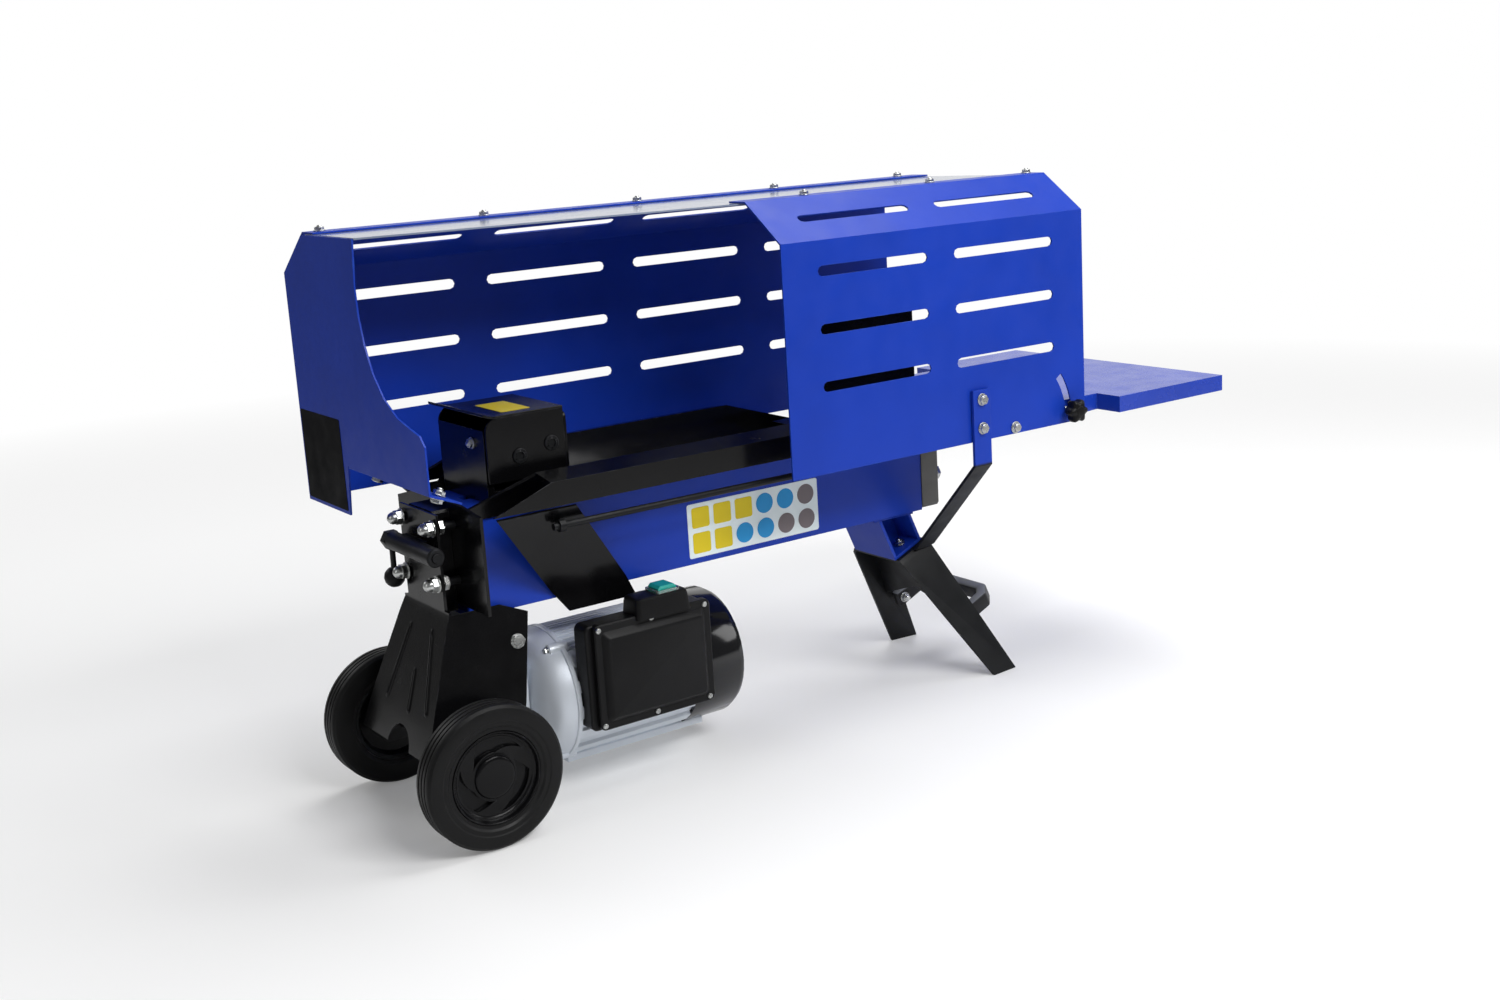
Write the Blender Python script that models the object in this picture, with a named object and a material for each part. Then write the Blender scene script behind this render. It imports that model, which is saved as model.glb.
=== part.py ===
"""Electric hydraulic log splitter: a beam on two wheels and a splayed foot, with a guard round the log bed.

X runs along the beam from the valve end to the wedge end, +Y is the closed back of the guard, +Z is up.
Every length below is in millimetres, measured from the wheel axle (X), the middle of the beam (Y) and the
floor (Z). One empty, "machine", carries everything and moves the origin to the middle of the footprint.
"""

import math

import bmesh
import bpy
from mathutils import Matrix, Vector

MM = 0.001
GAP = 0.3

# Beam and its two ends
BEAM_X0, BEAM_X1 = 29.3, 680.0
BEAM_HALF_Y = 50.0
BEAM_Z0, BEAM_Z1 = 230.0, 352.0
BEAM_WALL = 5.0
FRONT_PLATE_X0, FRONT_PLATE_X1 = 25.3, 29.0
FRONT_PLATE_HALF_Y = 105.0
CAP_X0, CAP_X1 = 5.6, 25.0
END_PLATE_X1 = 708.0
TIE_Y = 40.0
TIE_Z = (273.0, 335.0)
TIE_R = 4.5

# Hydraulic cylinder inside the beam, and the pusher that it pulls
STROKE = 265.0
RAM_Z = 291.0
TUBE_R, BORE_R = 37.0, 31.0
TUBE_X0, TUBE_X1 = 364.0, 674.0
GLAND_X0 = 350.0
ROD_R, SPIGOT_R = 14.0, 10.0
PISTON_X0, PISTON_X1 = 382.0, 398.0
LUG_X0, LUG_X1 = 64.0, 80.0
LUG_HALF_Y = 7.0
PUSHER_X0, PUSHER_X1 = 62.0, 160.0
PUSHER_HALF_Y = 56.0
PUSHER_TOP_Z = 445.0
COVER_T = 3.0

# Log bed
TRAY_T = 3.0
TRAY_X0, TRAY_X1 = 5.0, 575.0
RIM_X0, RIM_X1 = 105.0, 473.0
RIM_IN_Y, RIM_OUT_Y = 85.0, 120.0
RIM_IN_Z, RIM_OUT_Z = 385.0, 379.0
SKIRT_Z = 352.0
WEDGE_X0, WEDGE_X1 = 530.0, 692.0
WEDGE_TOP_Z = 505.0
WEDGE_HALF_Y = 31.0

# Guard
GUARD_T = 2.0
GUARD_HALF_Y = 168.0
GUARD_FOLD_Z, GUARD_TOP_Z = 607.0, 651.0
GUARD_FLAT_Y, GUARD_LIP_Y = 103.0, 72.0
GUARD_X0 = -54.0
BACK_X1, BACK_Z0 = 816.0, 346.0
FRONT_X0, FRONT_X1, FRONT_Z0 = 389.0, 862.0, 337.0
SLOT_LENGTH, SLOT_HEIGHT, SLOT_PITCH = 164.0, 12.0, 206.0
SLOT_ROWS_Z = (438.6, 505.1, 571.7)
BACK_SLOT_X0, BACK_SLOT_COLUMNS = -14.0, 4
FRONT_SLOT_X0, FRONT_SLOT_COLUMNS = 439.0, 2

# Outfeed table, turning on the guard
PIVOT_X, PIVOT_Z = 738.0, 345.0
TABLE_Z = 365.0
TABLE_X1 = 1094.0
TABLE_STEP_X = 893.0
TABLE_INNER_Y, TABLE_OUTER_Y = 160.0, 200.0
TABLE_SKIRT = 21.0
TABLE_T = 2.0
TABLE_TILT = 26.0
KNOB_RADIUS, KNOB_ANGLE = 95.0, 5.0

# Leg, foot and straps at the wedge end
LEG_ANGLE = math.radians(23.5)
LEG_HALF_Y, LEG_DEPTH, LEG_WALL = 42.0, 49.0, 4.0
LEG_X_AT_BEAM = 611.0
LEG_LENGTH = 68.0
FOOT_T = 4.0
FOOT_DEPTHS = (2.0, 54.0)
FOOT_FLAT_Y, FOOT_BEND_Y, FOOT_BEND_DROP = 47.0, 53.0, 7.0
TOE_TIP_FRONT, TOE_TIP_BACK = (746.0, 108.0, 0.0), (788.0, 104.0, 0.0)
GUSSET_DEPTHS = (36.0, 39.0)
HANDLE_ROOT, HANDLE_OUTER, HANDLE_HALF, HANDLE_CORNER = 42.0, 108.0, 72.0, 16.0
HANDLE_ALONG = (178.0, 200.0)
HANDLE_T = 14.0
STRAP_X, STRAP_WIDTH, STRAP_T = 678.0, 28.0, 4.0
STRAP_BOLT_Z = (354.0, 390.0)

# Wheels and their bracket
WHEEL_R, WHEEL_WIDTH, WHEEL_Y = 80.0, 35.0, 128.0
RIM_R = 51.0
AXLE_R = 8.0
BRACKET_T = 3.0
# Each row of the bracket: height, X of its face, half width of the face, X of the cheek's rear edge
BRACKET_ROWS = (
    (350, 1.5, 57, 0),
    (240, 1.5, 57, 62),
    (226, -4.5, 60, 94),
    (130, -40, 81, 72),
    (92, -52, 88, 60),
    (62, -26, 92, 26),
)
ARCH_Y, ARCH_Z, ARCH_R = -8.0, 88.0, 28.0

# Motor and pump on one shaft
SHAFT_Z = 105.0
MOTOR_X0, MOTOR_X1 = 140.0, 300.0
MOTOR_R, FIN_ROOT_R = 79.0, 70.0
MOTOR_BORE_R = 62.0
SHAFT_R = 8.0
FAN_COVER_X1 = 374.0
GEAR_TEETH, GEAR_TIP_R, GEAR_ROOT_R = 10, 14.6, 11.0
GEAR_SPACING = 26.2
GEAR_X0, GEAR_X1 = 58.0, 76.0
PUMP_X0, PUMP_SPLIT, PUMP_X1 = 42.0, 76.6, 97.0

# Switch box on the motor, and the start button in its hood
BOX_X0, BOX_X1 = 153.0, 302.0
BOX_Y0, BOX_Y1 = -110.0, -64.0
BOX_Z0, BOX_Z1 = 79.0, 203.0
BUTTON_X, BUTTON_Y = (240.0, 264.0), (-100.0, -78.0)
BUTTON_Z = (215.0, 230.0)
BUTTON_HOME = (sum(BUTTON_X) / 2, sum(BUTTON_Y) / 2, BUTTON_Z[1])

# Valve across the wheel bracket, its turning spool and the lever
VALVE_X, VALVE_Z = -14.0, 311.0
SPOOL_R = 5.2
HEAD_Y0, HEAD_Y1 = 36.6, 47.0
BRACKET_FRONT = 1.5
LEVER_KNOB = (-7.0, 60.5, 263.0)
KNOB_R = 12.0

LENGTH_MIDDLE_X = (TABLE_X1 - WHEEL_R) / 2

AXES = {"X": Vector((1, 0, 0)), "Y": Vector((0, 1, 0)), "Z": Vector((0, 0, 1))}
# Where each empty stands, in machine millimetres
HOMES = {}


# ---------------------------------------------------------------- materials


def material(name, colour, roughness, metallic=0.0):
    """A Principled material of its own for each sub-part."""
    made = bpy.data.materials.new(name)
    made.use_nodes = True
    shader = made.node_tree.nodes["Principled BSDF"]
    shader.inputs["Base Color"].default_value = (*colour, 1.0)
    shader.inputs["Roughness"].default_value = roughness
    shader.inputs["Metallic"].default_value = metallic
    return made


FINISHES = {
    "blue": ((0.02, 0.06, 0.42), 0.35, 0.0),
    "black": ((0.015, 0.015, 0.017), 0.38, 0.0),
    "plastic": ((0.02, 0.02, 0.022), 0.5, 0.0),
    "rubber": ((0.018, 0.018, 0.018), 0.8, 0.0),
    "zinc": ((0.62, 0.63, 0.64), 0.32, 1.0),
    "steel": ((0.5, 0.5, 0.51), 0.25, 1.0),
    "aluminium": ((0.66, 0.67, 0.68), 0.45, 1.0),
    "cast": ((0.3, 0.3, 0.3), 0.6, 1.0),
    "copper": ((0.6, 0.28, 0.12), 0.4, 1.0),
    "teal": ((0.02, 0.32, 0.27), 0.3, 0.0),
    "seal": ((0.03, 0.03, 0.03), 0.6, 0.0),
    "grey_top": ((0.3, 0.32, 0.36), 0.3, 0.0),
}


# ---------------------------------------------------------------- making meshes


def add_object(name, points, faces, finish, parent, origin=(0, 0, 0)):
    """An object from points in machine millimetres; its own origin sits at the point given."""
    mesh = bpy.data.meshes.new(name)
    home = Vector(origin)
    mesh.from_pydata([(Vector(p) - home) * MM for p in points], [], faces)
    shape = bmesh.new()
    shape.from_mesh(mesh)
    bmesh.ops.remove_doubles(shape, verts=shape.verts, dist=1e-7)
    bmesh.ops.recalc_face_normals(shape, faces=shape.faces)
    shape.to_mesh(mesh)
    shape.free()
    made = bpy.data.objects.new(name, mesh)
    bpy.context.scene.collection.objects.link(made)
    made.parent = parent
    made.location = (home - Vector(HOMES[parent.name])) * MM
    if finish:
        mesh.materials.append(material(name, *FINISHES[finish]))
    else:
        made.hide_render = True
        made.display_type = "WIRE"
    return made


def add_empty(name, parent=None, origin=(0, 0, 0)):
    """An empty on a joint's axis; whatever it carries turns or slides with it."""
    made = bpy.data.objects.new(name, None)
    bpy.context.scene.collection.objects.link(made)
    made.empty_display_size = 0.02
    made.parent = parent
    before = Vector(HOMES[parent.name]) if parent else Vector((0, 0, 0))
    made.location = (Vector(origin) - before) * MM
    HOMES[name] = tuple(origin)
    return made


def smooth(made, degrees=35):
    made.data.shade_smooth()
    made.data.set_sharp_from_angle(angle=math.radians(degrees))
    return made


def ring_faces(rings, closed):
    """Quads between loops of equal length; a closed stack also joins the last loop to the first."""
    faces = []
    count = len(rings[0])
    pairs = list(zip(rings, rings[1:]))
    if closed:
        pairs.append((rings[-1], rings[0]))
    for first, second in pairs:
        for i in range(count):
            j = (i + 1) % count
            faces.append((first[i], first[j], second[j], second[i]))
    return faces


def prism(outline, axis, low, high, hole=None):
    """Points and faces of a flat outline pushed along an axis, with an optional hole of as many corners."""

    def place(u, v, w):
        return {"X": (w, u, v), "Y": (u, w, v), "Z": (u, v, w)}[axis]

    points = [place(u, v, w) for w in (low, high) for u, v in outline]
    count = len(outline)
    bottom = list(range(count))
    top = list(range(count, 2 * count))
    if hole is None:
        return points, ring_faces([bottom, top], False) + [tuple(bottom), tuple(top)]
    points += [place(u, v, w) for w in (low, high) for u, v in hole]
    inner_bottom = [2 * count + i for i in range(count)]
    inner_top = [3 * count + i for i in range(count)]
    return points, ring_faces([bottom, top, inner_top, inner_bottom], True)


def box(x0, x1, y0, y1, z0, z1):
    return prism([(y0, z0), (y1, z0), (y1, z1), (y0, z1)], "X", x0, x1)


def join(*shapes):
    """Several shapes as the points and faces of one mesh."""
    points, faces = [], []
    for more_points, more_faces in shapes:
        start = len(points)
        points += more_points
        faces += [tuple(start + i for i in face) for face in more_faces]
    return points, faces


def circle(u, v, radius, count, turn=0.0):
    steps = (turn + 2 * math.pi * i / count for i in range(count))
    return [(u + radius * math.cos(a), v + radius * math.sin(a)) for a in steps]


def lathe(profile, axis, centre, count, ring=False):
    """A profile of (distance along the axis, radius) turned round the axis through the centre.

    A ring profile is a closed loop that stays off the axis; any other starts and ends on it."""
    along = AXES[axis]
    side = {"X": AXES["Y"], "Y": AXES["X"], "Z": AXES["X"]}[axis]
    up = along.cross(side)
    middle = Vector(centre)
    points, rings, ends = [], [], []
    for distance, radius in profile:
        if radius < 1e-6:
            ends.append(len(points))
            points.append(middle + along * distance)
            continue
        start = len(points)
        rings.append([start + i for i in range(count)])
        for i in range(count):
            a = 2 * math.pi * i / count
            spoke = side * math.cos(a) + up * math.sin(a)
            points.append(middle + along * distance + spoke * radius)
    faces = ring_faces(rings, ring)
    if not ring:
        for end, loop in zip(ends, (rings[0], rings[-1])):
            faces += [(end, loop[i], loop[(i + 1) % count]) for i in range(count)]
    return points, faces


def rod_shape(axis, centre, low, high, radius, count=16):
    return lathe([(low, 0), (low, radius), (high, radius), (high, 0)], axis, centre, count)


def tube_shape(axis, centre, low, high, outer, inner, count=32):
    profile = [(low, inner), (low, outer), (high, outer), (high, inner)]
    return lathe(profile, axis, centre, count, ring=True)


def stadium(u0, u1, v, height, steps=4):
    """The outline of a slot with round ends."""
    r = height / 2
    points = []
    for middle, start in ((u1 - r, -math.pi / 2), (u0 + r, math.pi / 2)):
        for i in range(steps + 1):
            a = start + math.pi * i / steps
            points.append((middle + r * math.cos(a), v + r * math.sin(a)))
    return points


def thick_path(path, thickness):
    """The closed outline of a bent sheet: the path, and the same path moved to its left, mitred."""
    moved = []
    for i, (u, v) in enumerate(path):
        normals = []
        for a, b in ((i - 1, i), (i, i + 1)):
            if a < 0 or b >= len(path):
                continue
            du, dv = path[b][0] - path[a][0], path[b][1] - path[a][1]
            size = math.hypot(du, dv)
            normals.append((-dv / size, du / size))
        nu = sum(n[0] for n in normals)
        nv = sum(n[1] for n in normals)
        size = math.hypot(nu, nv)
        nu, nv = nu / size, nv / size
        stretch = thickness / (nu * normals[0][0] + nv * normals[0][1])
        moved.append((u + nu * stretch, v + nv * stretch))
    return list(path) + moved[::-1]


def without_spares(points, faces):
    """The same faces with only the points that they use."""
    used = sorted({i for face in faces for i in face})
    index = {old: new for new, old in enumerate(used)}
    return [points[i] for i in used], [tuple(index[i] for i in face) for face in faces]


def moved(shape, matrix):
    points, faces = shape
    return [matrix @ Vector(p) for p in points], faces


def cut(made, name, *shapes):
    """Takes the shapes away from the object; they must not touch one another."""
    points, faces = join(*shapes)
    cutter = add_object(name, points, faces, None, MACHINE)
    modifier = made.modifiers.new("Cut", "BOOLEAN")
    modifier.operation = "DIFFERENCE"
    modifier.solver = "EXACT"
    modifier.object = cutter
    return made


def fuse(made, name, *shapes):
    """Welds each shape to the object."""
    for number, shape in enumerate(shapes):
        helper = add_object(f"{name}_{number}", *shape, None, MACHINE)
        modifier = made.modifiers.new("Weld on", "BOOLEAN")
        modifier.operation = "UNION"
        modifier.solver = "EXACT"
        modifier.object = helper
    return made


def mirror_y(path):
    return [(-y, z) for y, z in path]


# ---------------------------------------------------------------- beam and hydraulics


def tie_points():
    return [(y, z) for z in TIE_Z for y in (-TIE_Y, TIE_Y)]


def tie_holes(x0, x1):
    return [rod_shape("X", (0, y, z), x0, x1, TIE_R + 0.4, 12) for y, z in tie_points()]


def make_beam():

    def section(inset):
        y, low, high = BEAM_HALF_Y - inset, BEAM_Z0 + inset, BEAM_Z1 - inset
        return [(-y, low), (y, low), (y, high), (-y, high)]

    outer, inner = section(0), section(BEAM_WALL)
    beam = add_object("beam", *prism(outer, "X", BEAM_X0, BEAM_X1, inner), "blue", MACHINE)
    half = LUG_HALF_Y + 1.5
    slot = box(LUG_X0 - 10, LUG_X1 + STROKE + 7, -half, half, BEAM_Z1 - 20, BEAM_Z1 + 10)
    cut(beam, "cut_beam_slot", slot)


def make_beam_ends():
    y = FRONT_PLATE_HALF_Y
    outline = [(-y, 244), (y, 244), (y, 346), (58, 358), (-58, 358), (-y, 352)]
    plate = add_object("front_plate", *prism(outline, "X", FRONT_PLATE_X0, FRONT_PLATE_X1), "black", MACHINE)
    cut(plate, "cut_front_plate", *tie_holes(FRONT_PLATE_X0 - 5, FRONT_PLATE_X1 + 5))

    outline = [(-30, 236), (30, 236), (31, 238), (31, 348), (29, 351), (-29, 351), (-31, 348), (-31, 238)]
    add_object("front_cap", *prism(outline, "X", CAP_X0, CAP_X1), "black", MACHINE)

    outline = [(-48, 232), (48, 232), (51, 236), (51, 347), (48, 351), (-48, 351), (-51, 347), (-51, 236)]
    x0 = BEAM_X1 + GAP
    end = add_object("end_plate", *prism(outline, "X", x0, END_PLATE_X1), "cast", MACHINE)
    recess = rod_shape("X", (0, 0, RAM_Z), END_PLATE_X1 - 6, END_PLATE_X1 + 5, 26, 24)
    cut(end, "cut_end_plate", *tie_holes(x0 - 5, END_PLATE_X1 + 5), recess)


def make_tie_rods():
    """Four rods that clamp the beam between its ends, with dome nuts at the valve end."""
    for number, (y, z) in enumerate(tie_points(), 1):
        dome = [(-16, 0), (-15, 3.6), (-12, 6.0), (-9, 7.0), (-0.3, 7.0), (-0.3, TIE_R)]
        dome += [(5.6, TIE_R), (5.6, 7.0), (12, 7.0), (12, TIE_R)]
        x0, x1 = END_PLATE_X1 + GAP, END_PLATE_X1 + 7
        tail = [(x0, TIE_R), (x0, 8.0), (x1, 8.0), (x1, 0)]
        rod = lathe(dome + tail, "X", (0, y, z), 12)
        smooth(add_object(f"tie_rod_{number}", *rod, "zinc", MACHINE))


def make_cylinder():
    tube = tube_shape("X", (0, 0, RAM_Z), TUBE_X0 + GAP, TUBE_X1, TUBE_R, BORE_R, 32)
    smooth(add_object("cylinder_tube", *tube, "steel", MACHINE))
    gland = [
        (GLAND_X0, ROD_R + 0.4),
        (GLAND_X0, TUBE_R),
        (TUBE_X0, TUBE_R),
        (TUBE_X0, BORE_R - GAP),
        (TUBE_X0 + 12, BORE_R - GAP),
        (TUBE_X0 + 12, ROD_R + 0.4),
    ]
    smooth(add_object("gland", *lathe(gland, "X", (0, 0, RAM_Z), 32, ring=True), "cast", MACHINE))


def make_ram(body):
    """Piston, seal, rod and nut. The rod is pulled into the cylinder and draws the pusher's lug along."""
    centre = (0, 0, RAM_Z)
    groove0, groove1 = PISTON_X0 + 5, PISTON_X1 - 5
    bore = SPIGOT_R + GAP
    piston = [
        (PISTON_X0, bore),
        (PISTON_X0, BORE_R - 0.5),
        (groove0, BORE_R - 0.5),
        (groove0, BORE_R - 4),
        (groove1, BORE_R - 4),
        (groove1, BORE_R - 0.5),
        (PISTON_X1, BORE_R - 0.5),
        (PISTON_X1, bore),
    ]
    smooth(add_object("piston", *lathe(piston, "X", centre, 32, ring=True), "steel", body, centre))
    seal = tube_shape("X", centre, groove0 + GAP, groove1 - GAP, BORE_R - 0.25, BORE_R - 3.7, 32)
    smooth(add_object("piston_seal", *seal, "seal", body, centre))
    rod = [
        (LUG_X0 - 17, 0),
        (LUG_X0 - 17, SPIGOT_R),
        (LUG_X1 + GAP, SPIGOT_R),
        (LUG_X1 + GAP, ROD_R),
        (PISTON_X0 - GAP, ROD_R),
        (PISTON_X0 - GAP, SPIGOT_R),
        (PISTON_X1 + 2, SPIGOT_R),
        (PISTON_X1 + 2, 0),
    ]
    smooth(add_object("piston_rod", *lathe(rod, "X", centre, 24), "steel", body, centre))
    hexagon = circle(0, RAM_Z, 17, 24)
    for i, (y, z) in enumerate(hexagon):
        a = 2 * math.pi * i / 24
        flat = math.cos(math.pi / 6) / math.cos((a + math.pi / 6) % (math.pi / 3) - math.pi / 6)
        hexagon[i] = (y * flat, RAM_Z + (z - RAM_Z) * flat)
    nut = prism(hexagon, "X", LUG_X0 - 14, LUG_X0 - GAP, circle(0, RAM_Z, SPIGOT_R + GAP, 24))
    add_object("rod_nut", *nut, "zinc", body, centre)


# ---------------------------------------------------------------- pusher


def make_pusher(body):
    """A welded block on a sole plate, with the drive lug that reaches down through the beam's slot."""
    sole_z = BEAM_Z1 + 1.0
    profile = [
        (PUSHER_X0, sole_z),
        (PUSHER_X1, sole_z),
        (PUSHER_X1, PUSHER_TOP_Z),
        (PUSHER_X1 - 12, PUSHER_TOP_Z),
        (PUSHER_X1 - 12, sole_z + 12),
        (PUSHER_X0 + 8, sole_z + 12),
        (PUSHER_X0 + 8, PUSHER_TOP_Z - 12),
        (PUSHER_X0, PUSHER_TOP_Z - 12),
    ]
    block = prism(profile, "Y", -PUSHER_HALF_Y + 1, PUSHER_HALF_Y - 1)
    pusher = add_object("pusher_block", *block, "black", body, (PUSHER_X0, 0, RAM_Z))
    neck = box(LUG_X0, LUG_X1, -LUG_HALF_Y, LUG_HALF_Y, RAM_Z, sole_z + 6)
    eye = rod_shape("X", (0, 0, RAM_Z), LUG_X0, LUG_X1, 22, 24)
    web = box(PUSHER_X0 + 6, PUSHER_X1 - 10, -5, 5, sole_z + 6, PUSHER_TOP_Z - 25)
    fuse(pusher, "weld_pusher", neck, eye, web)
    bore = rod_shape("X", (0, 0, RAM_Z), LUG_X0 - 5, LUG_X1 + 5, SPIGOT_R + GAP, 24)
    corners = [
        prism([(sign * 49, 350), (sign * 60, 350), (sign * 60, 372)], "X", PUSHER_X0 - 5, PUSHER_X1 + 5)
        for sign in (-1, 1)
    ]
    cut(pusher, "cut_pusher", bore, *corners)


def make_pusher_cover(body):
    """Sheet cover: two cheeks and a roof that widens into a lip over the valve end."""
    side = PUSHER_HALF_Y + GAP
    roof_z = PUSHER_TOP_Z + GAP
    front_x = PUSHER_X1 - 1.0
    cheeks = []
    for sign in (-1, 1):
        outline = [
            (PUSHER_X0 + 1, 374),
            (front_x, 374),
            (front_x, roof_z + 1.5),
            (PUSHER_X0 + 16, roof_z + 1.5),
            (PUSHER_X0 + 1, roof_z - 12),
        ]
        low, high = sorted((sign * side, sign * (side + COVER_T)))
        cheeks.append(prism(outline, "Y", low, high))
    wide = side + COVER_T
    lip_x, bend_x = PUSHER_X0 - 4, PUSHER_X0 + 18
    roof = [(front_x, -wide), (front_x, wide), (bend_x, wide), (lip_x, 68), (lip_x, -68), (bend_x, -wide)]
    roof_shape = prism(roof, "Z", roof_z, roof_z + COVER_T)
    cover = add_object("pusher_cover", *roof_shape, "black", body, (PUSHER_X0, 0, RAM_Z))
    fuse(cover, "weld_cover", *cheeks)


# ---------------------------------------------------------------- log bed


def tray_surface(sign):
    """Corner points of one tray's sheet, from the beam's side out to the turned-down skirt."""
    rows = [
        (BEAM_HALF_Y + GAP, 338.0, TRAY_X0 + 30, TRAY_X1 - 10),
        (BEAM_HALF_Y + 4.0, 352.0, TRAY_X0 + 30, TRAY_X1),
        (RIM_IN_Y, RIM_IN_Z, RIM_X0, RIM_X1),
        (RIM_OUT_Y, RIM_OUT_Z, RIM_X0, RIM_X1),
        (RIM_OUT_Y, SKIRT_Z, RIM_X0 - 70, RIM_X1 + 60),
    ]
    points = [(x, sign * y, z) for y, z, x0, x1 in rows for x in (x0, x1)]
    faces = [(2 * i, 2 * i + 1, 2 * i + 3, 2 * i + 2) for i in range(len(rows) - 1)]
    return points, faces


def make_trays():
    for name, sign in (("tray_near", -1), ("tray_far", 1)):
        tray = add_object(name, *tray_surface(sign), "black", MACHINE)
        thicken(tray, TRAY_T, (0, -sign, 1), -1)


def thicken(made, thickness, towards, side):
    """Gives an open sheet its thickness; its faces are first turned to look the way given."""
    shape = bmesh.new()
    shape.from_mesh(made.data)
    look = sum((face.normal * face.calc_area() for face in shape.faces), Vector())
    if look.dot(Vector(towards)) < 0:
        bmesh.ops.reverse_faces(shape, faces=shape.faces)
    shape.to_mesh(made.data)
    shape.free()
    modifier = made.modifiers.new("Sheet", "SOLIDIFY")
    modifier.thickness = thickness * MM
    modifier.offset = side
    modifier.use_even_offset = True


def make_braces():
    """Slanting sheets under the trays: their upper edge is under the skirt, their foot is beside the beam."""
    for name, sign in (("brace_near", -1), ("brace_far", 1)):
        rows = [
            (RIM_OUT_Y, SKIRT_Z - 3.5, 38, 134),
            (BEAM_HALF_Y + 4, 238, 129, 226),
            (BEAM_HALF_Y + 4, 212, 150, 238),
        ]
        points = [(x, sign * y, z) for y, z, x0, x1 in rows for x in (x0, x1)]
        faces = [(0, 1, 3, 2), (2, 3, 5, 4)]
        brace = add_object(name, points, faces, "black", MACHINE)
        thicken(brace, TRAY_T, (0, sign, -1), -1)


def make_side_rod():
    """The long thin rod beside the near brace, with a nut at its end and a flattened tab under the tray."""
    profile = [(104, 0), (104, 4.0), (110, 4.0), (110, 7.0), (117, 7.0), (117, 4.0), (470, 4.0), (470, 0)]
    rod = lathe(profile, "X", (0, -118.6, 330), 12)
    smooth(add_object("side_rod", *rod, "black", MACHINE))


def make_wedge():
    """The splitting wedge: a sharp upright edge that widens to the back, standing on a seat plate."""
    edge_x, back_x = WEDGE_X0, WEDGE_X1
    shoulder_x = edge_x + 70
    plan = [
        (edge_x, -0.8),
        (shoulder_x, -12),
        (back_x, -WEDGE_HALF_Y),
        (back_x, WEDGE_HALF_Y),
        (shoulder_x, 12),
        (edge_x, 0.8),
    ]
    wedge = add_object("wedge", *prism(plan, "Z", BEAM_Z1 + 8, WEDGE_TOP_Z), "black", MACHINE)
    slope = [(edge_x - 5, WEDGE_TOP_Z + 5), (edge_x - 5, WEDGE_TOP_Z - 16), (back_x + 5, WEDGE_TOP_Z + 5)]
    cut(wedge, "cut_wedge_top", prism(slope, "Y", -60, 60))
    seat = box(edge_x - 12, back_x + 2, -BEAM_HALF_Y, BEAM_HALF_Y, BEAM_Z1 + GAP, BEAM_Z1 + 9)
    fuse(wedge, "weld_seat", seat)


# ---------------------------------------------------------------- guard


def guard_path(bottom_z):
    """The bent side of the guard seen along the beam: flank, bevel and top lip."""
    return [
        (GUARD_HALF_Y, bottom_z),
        (GUARD_HALF_Y, GUARD_FOLD_Z),
        (GUARD_FLAT_Y, GUARD_TOP_Z + GUARD_T),
        (GUARD_LIP_Y, GUARD_TOP_Z + GUARD_T),
    ]


def slot_cutters(sign, x0, columns):
    """Slots through the flank in rows, and one more row through the bevel."""
    cutters = []
    reach = (GUARD_HALF_Y - 12) * sign, (GUARD_HALF_Y + 12) * sign
    rise = GUARD_TOP_Z + GUARD_T - GUARD_FOLD_Z
    run = GUARD_HALF_Y - GUARD_FLAT_Y
    tilt = math.atan2(rise, run)
    middle = Vector((0, sign * (GUARD_HALF_Y - run / 2), GUARD_FOLD_Z + rise / 2))
    for column in range(columns):
        start = x0 + column * SLOT_PITCH
        for z in SLOT_ROWS_Z:
            outline = stadium(start, start + SLOT_LENGTH, z, SLOT_HEIGHT)
            cutters.append(prism(outline, "Y", min(reach), max(reach)))
        flat = prism(stadium(start, start + SLOT_LENGTH, 0, SLOT_HEIGHT), "Z", -10, 10)
        lean = Matrix.Translation(middle) @ Matrix.Rotation(-sign * tilt, 4, "X")
        cutters.append(moved(flat, lean))
    return cutters


def arc_slot(radius, start, end, width, steps=6):
    """The outline, in X and Z, of a slot bent round the table's pivot."""
    outline = []
    for r, first, last in ((radius + width / 2, start, end), (radius - width / 2, end, start)):
        for i in range(steps + 1):
            a = math.radians(first + (last - first) * i / steps)
            outline.append((PIVOT_X + r * math.cos(a), PIVOT_Z + r * math.sin(a)))
    return outline


def side_hole(x, z, radius, sign):
    low, high = sorted((sign * (GUARD_HALF_Y - 15), sign * (GUARD_HALF_Y + 15)))
    return rod_shape("Y", (x, 0, z), low, high, radius, 12)


def make_guard_back():
    outline = thick_path(guard_path(BACK_Z0), GUARD_T)
    back = add_object("guard_back", *prism(outline, "X", GUARD_X0 + GAP, BACK_X1), "blue", MACHINE)
    holes = [side_hole(STRAP_X, z, 4.4, 1) for z in STRAP_BOLT_Z]
    holes.append(side_hole(PIVOT_X, PIVOT_Z, 4.4, 1))
    ear = box(640, BACK_X1, GUARD_HALF_Y - GUARD_T, GUARD_HALF_Y, FRONT_Z0, BACK_Z0 + 2)
    fuse(back, "weld_guard_back", ear)
    cut(back, "cut_guard_back", *slot_cutters(1, BACK_SLOT_X0, BACK_SLOT_COLUMNS))
    cut(back, "cut_guard_back_holes", *holes)


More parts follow.
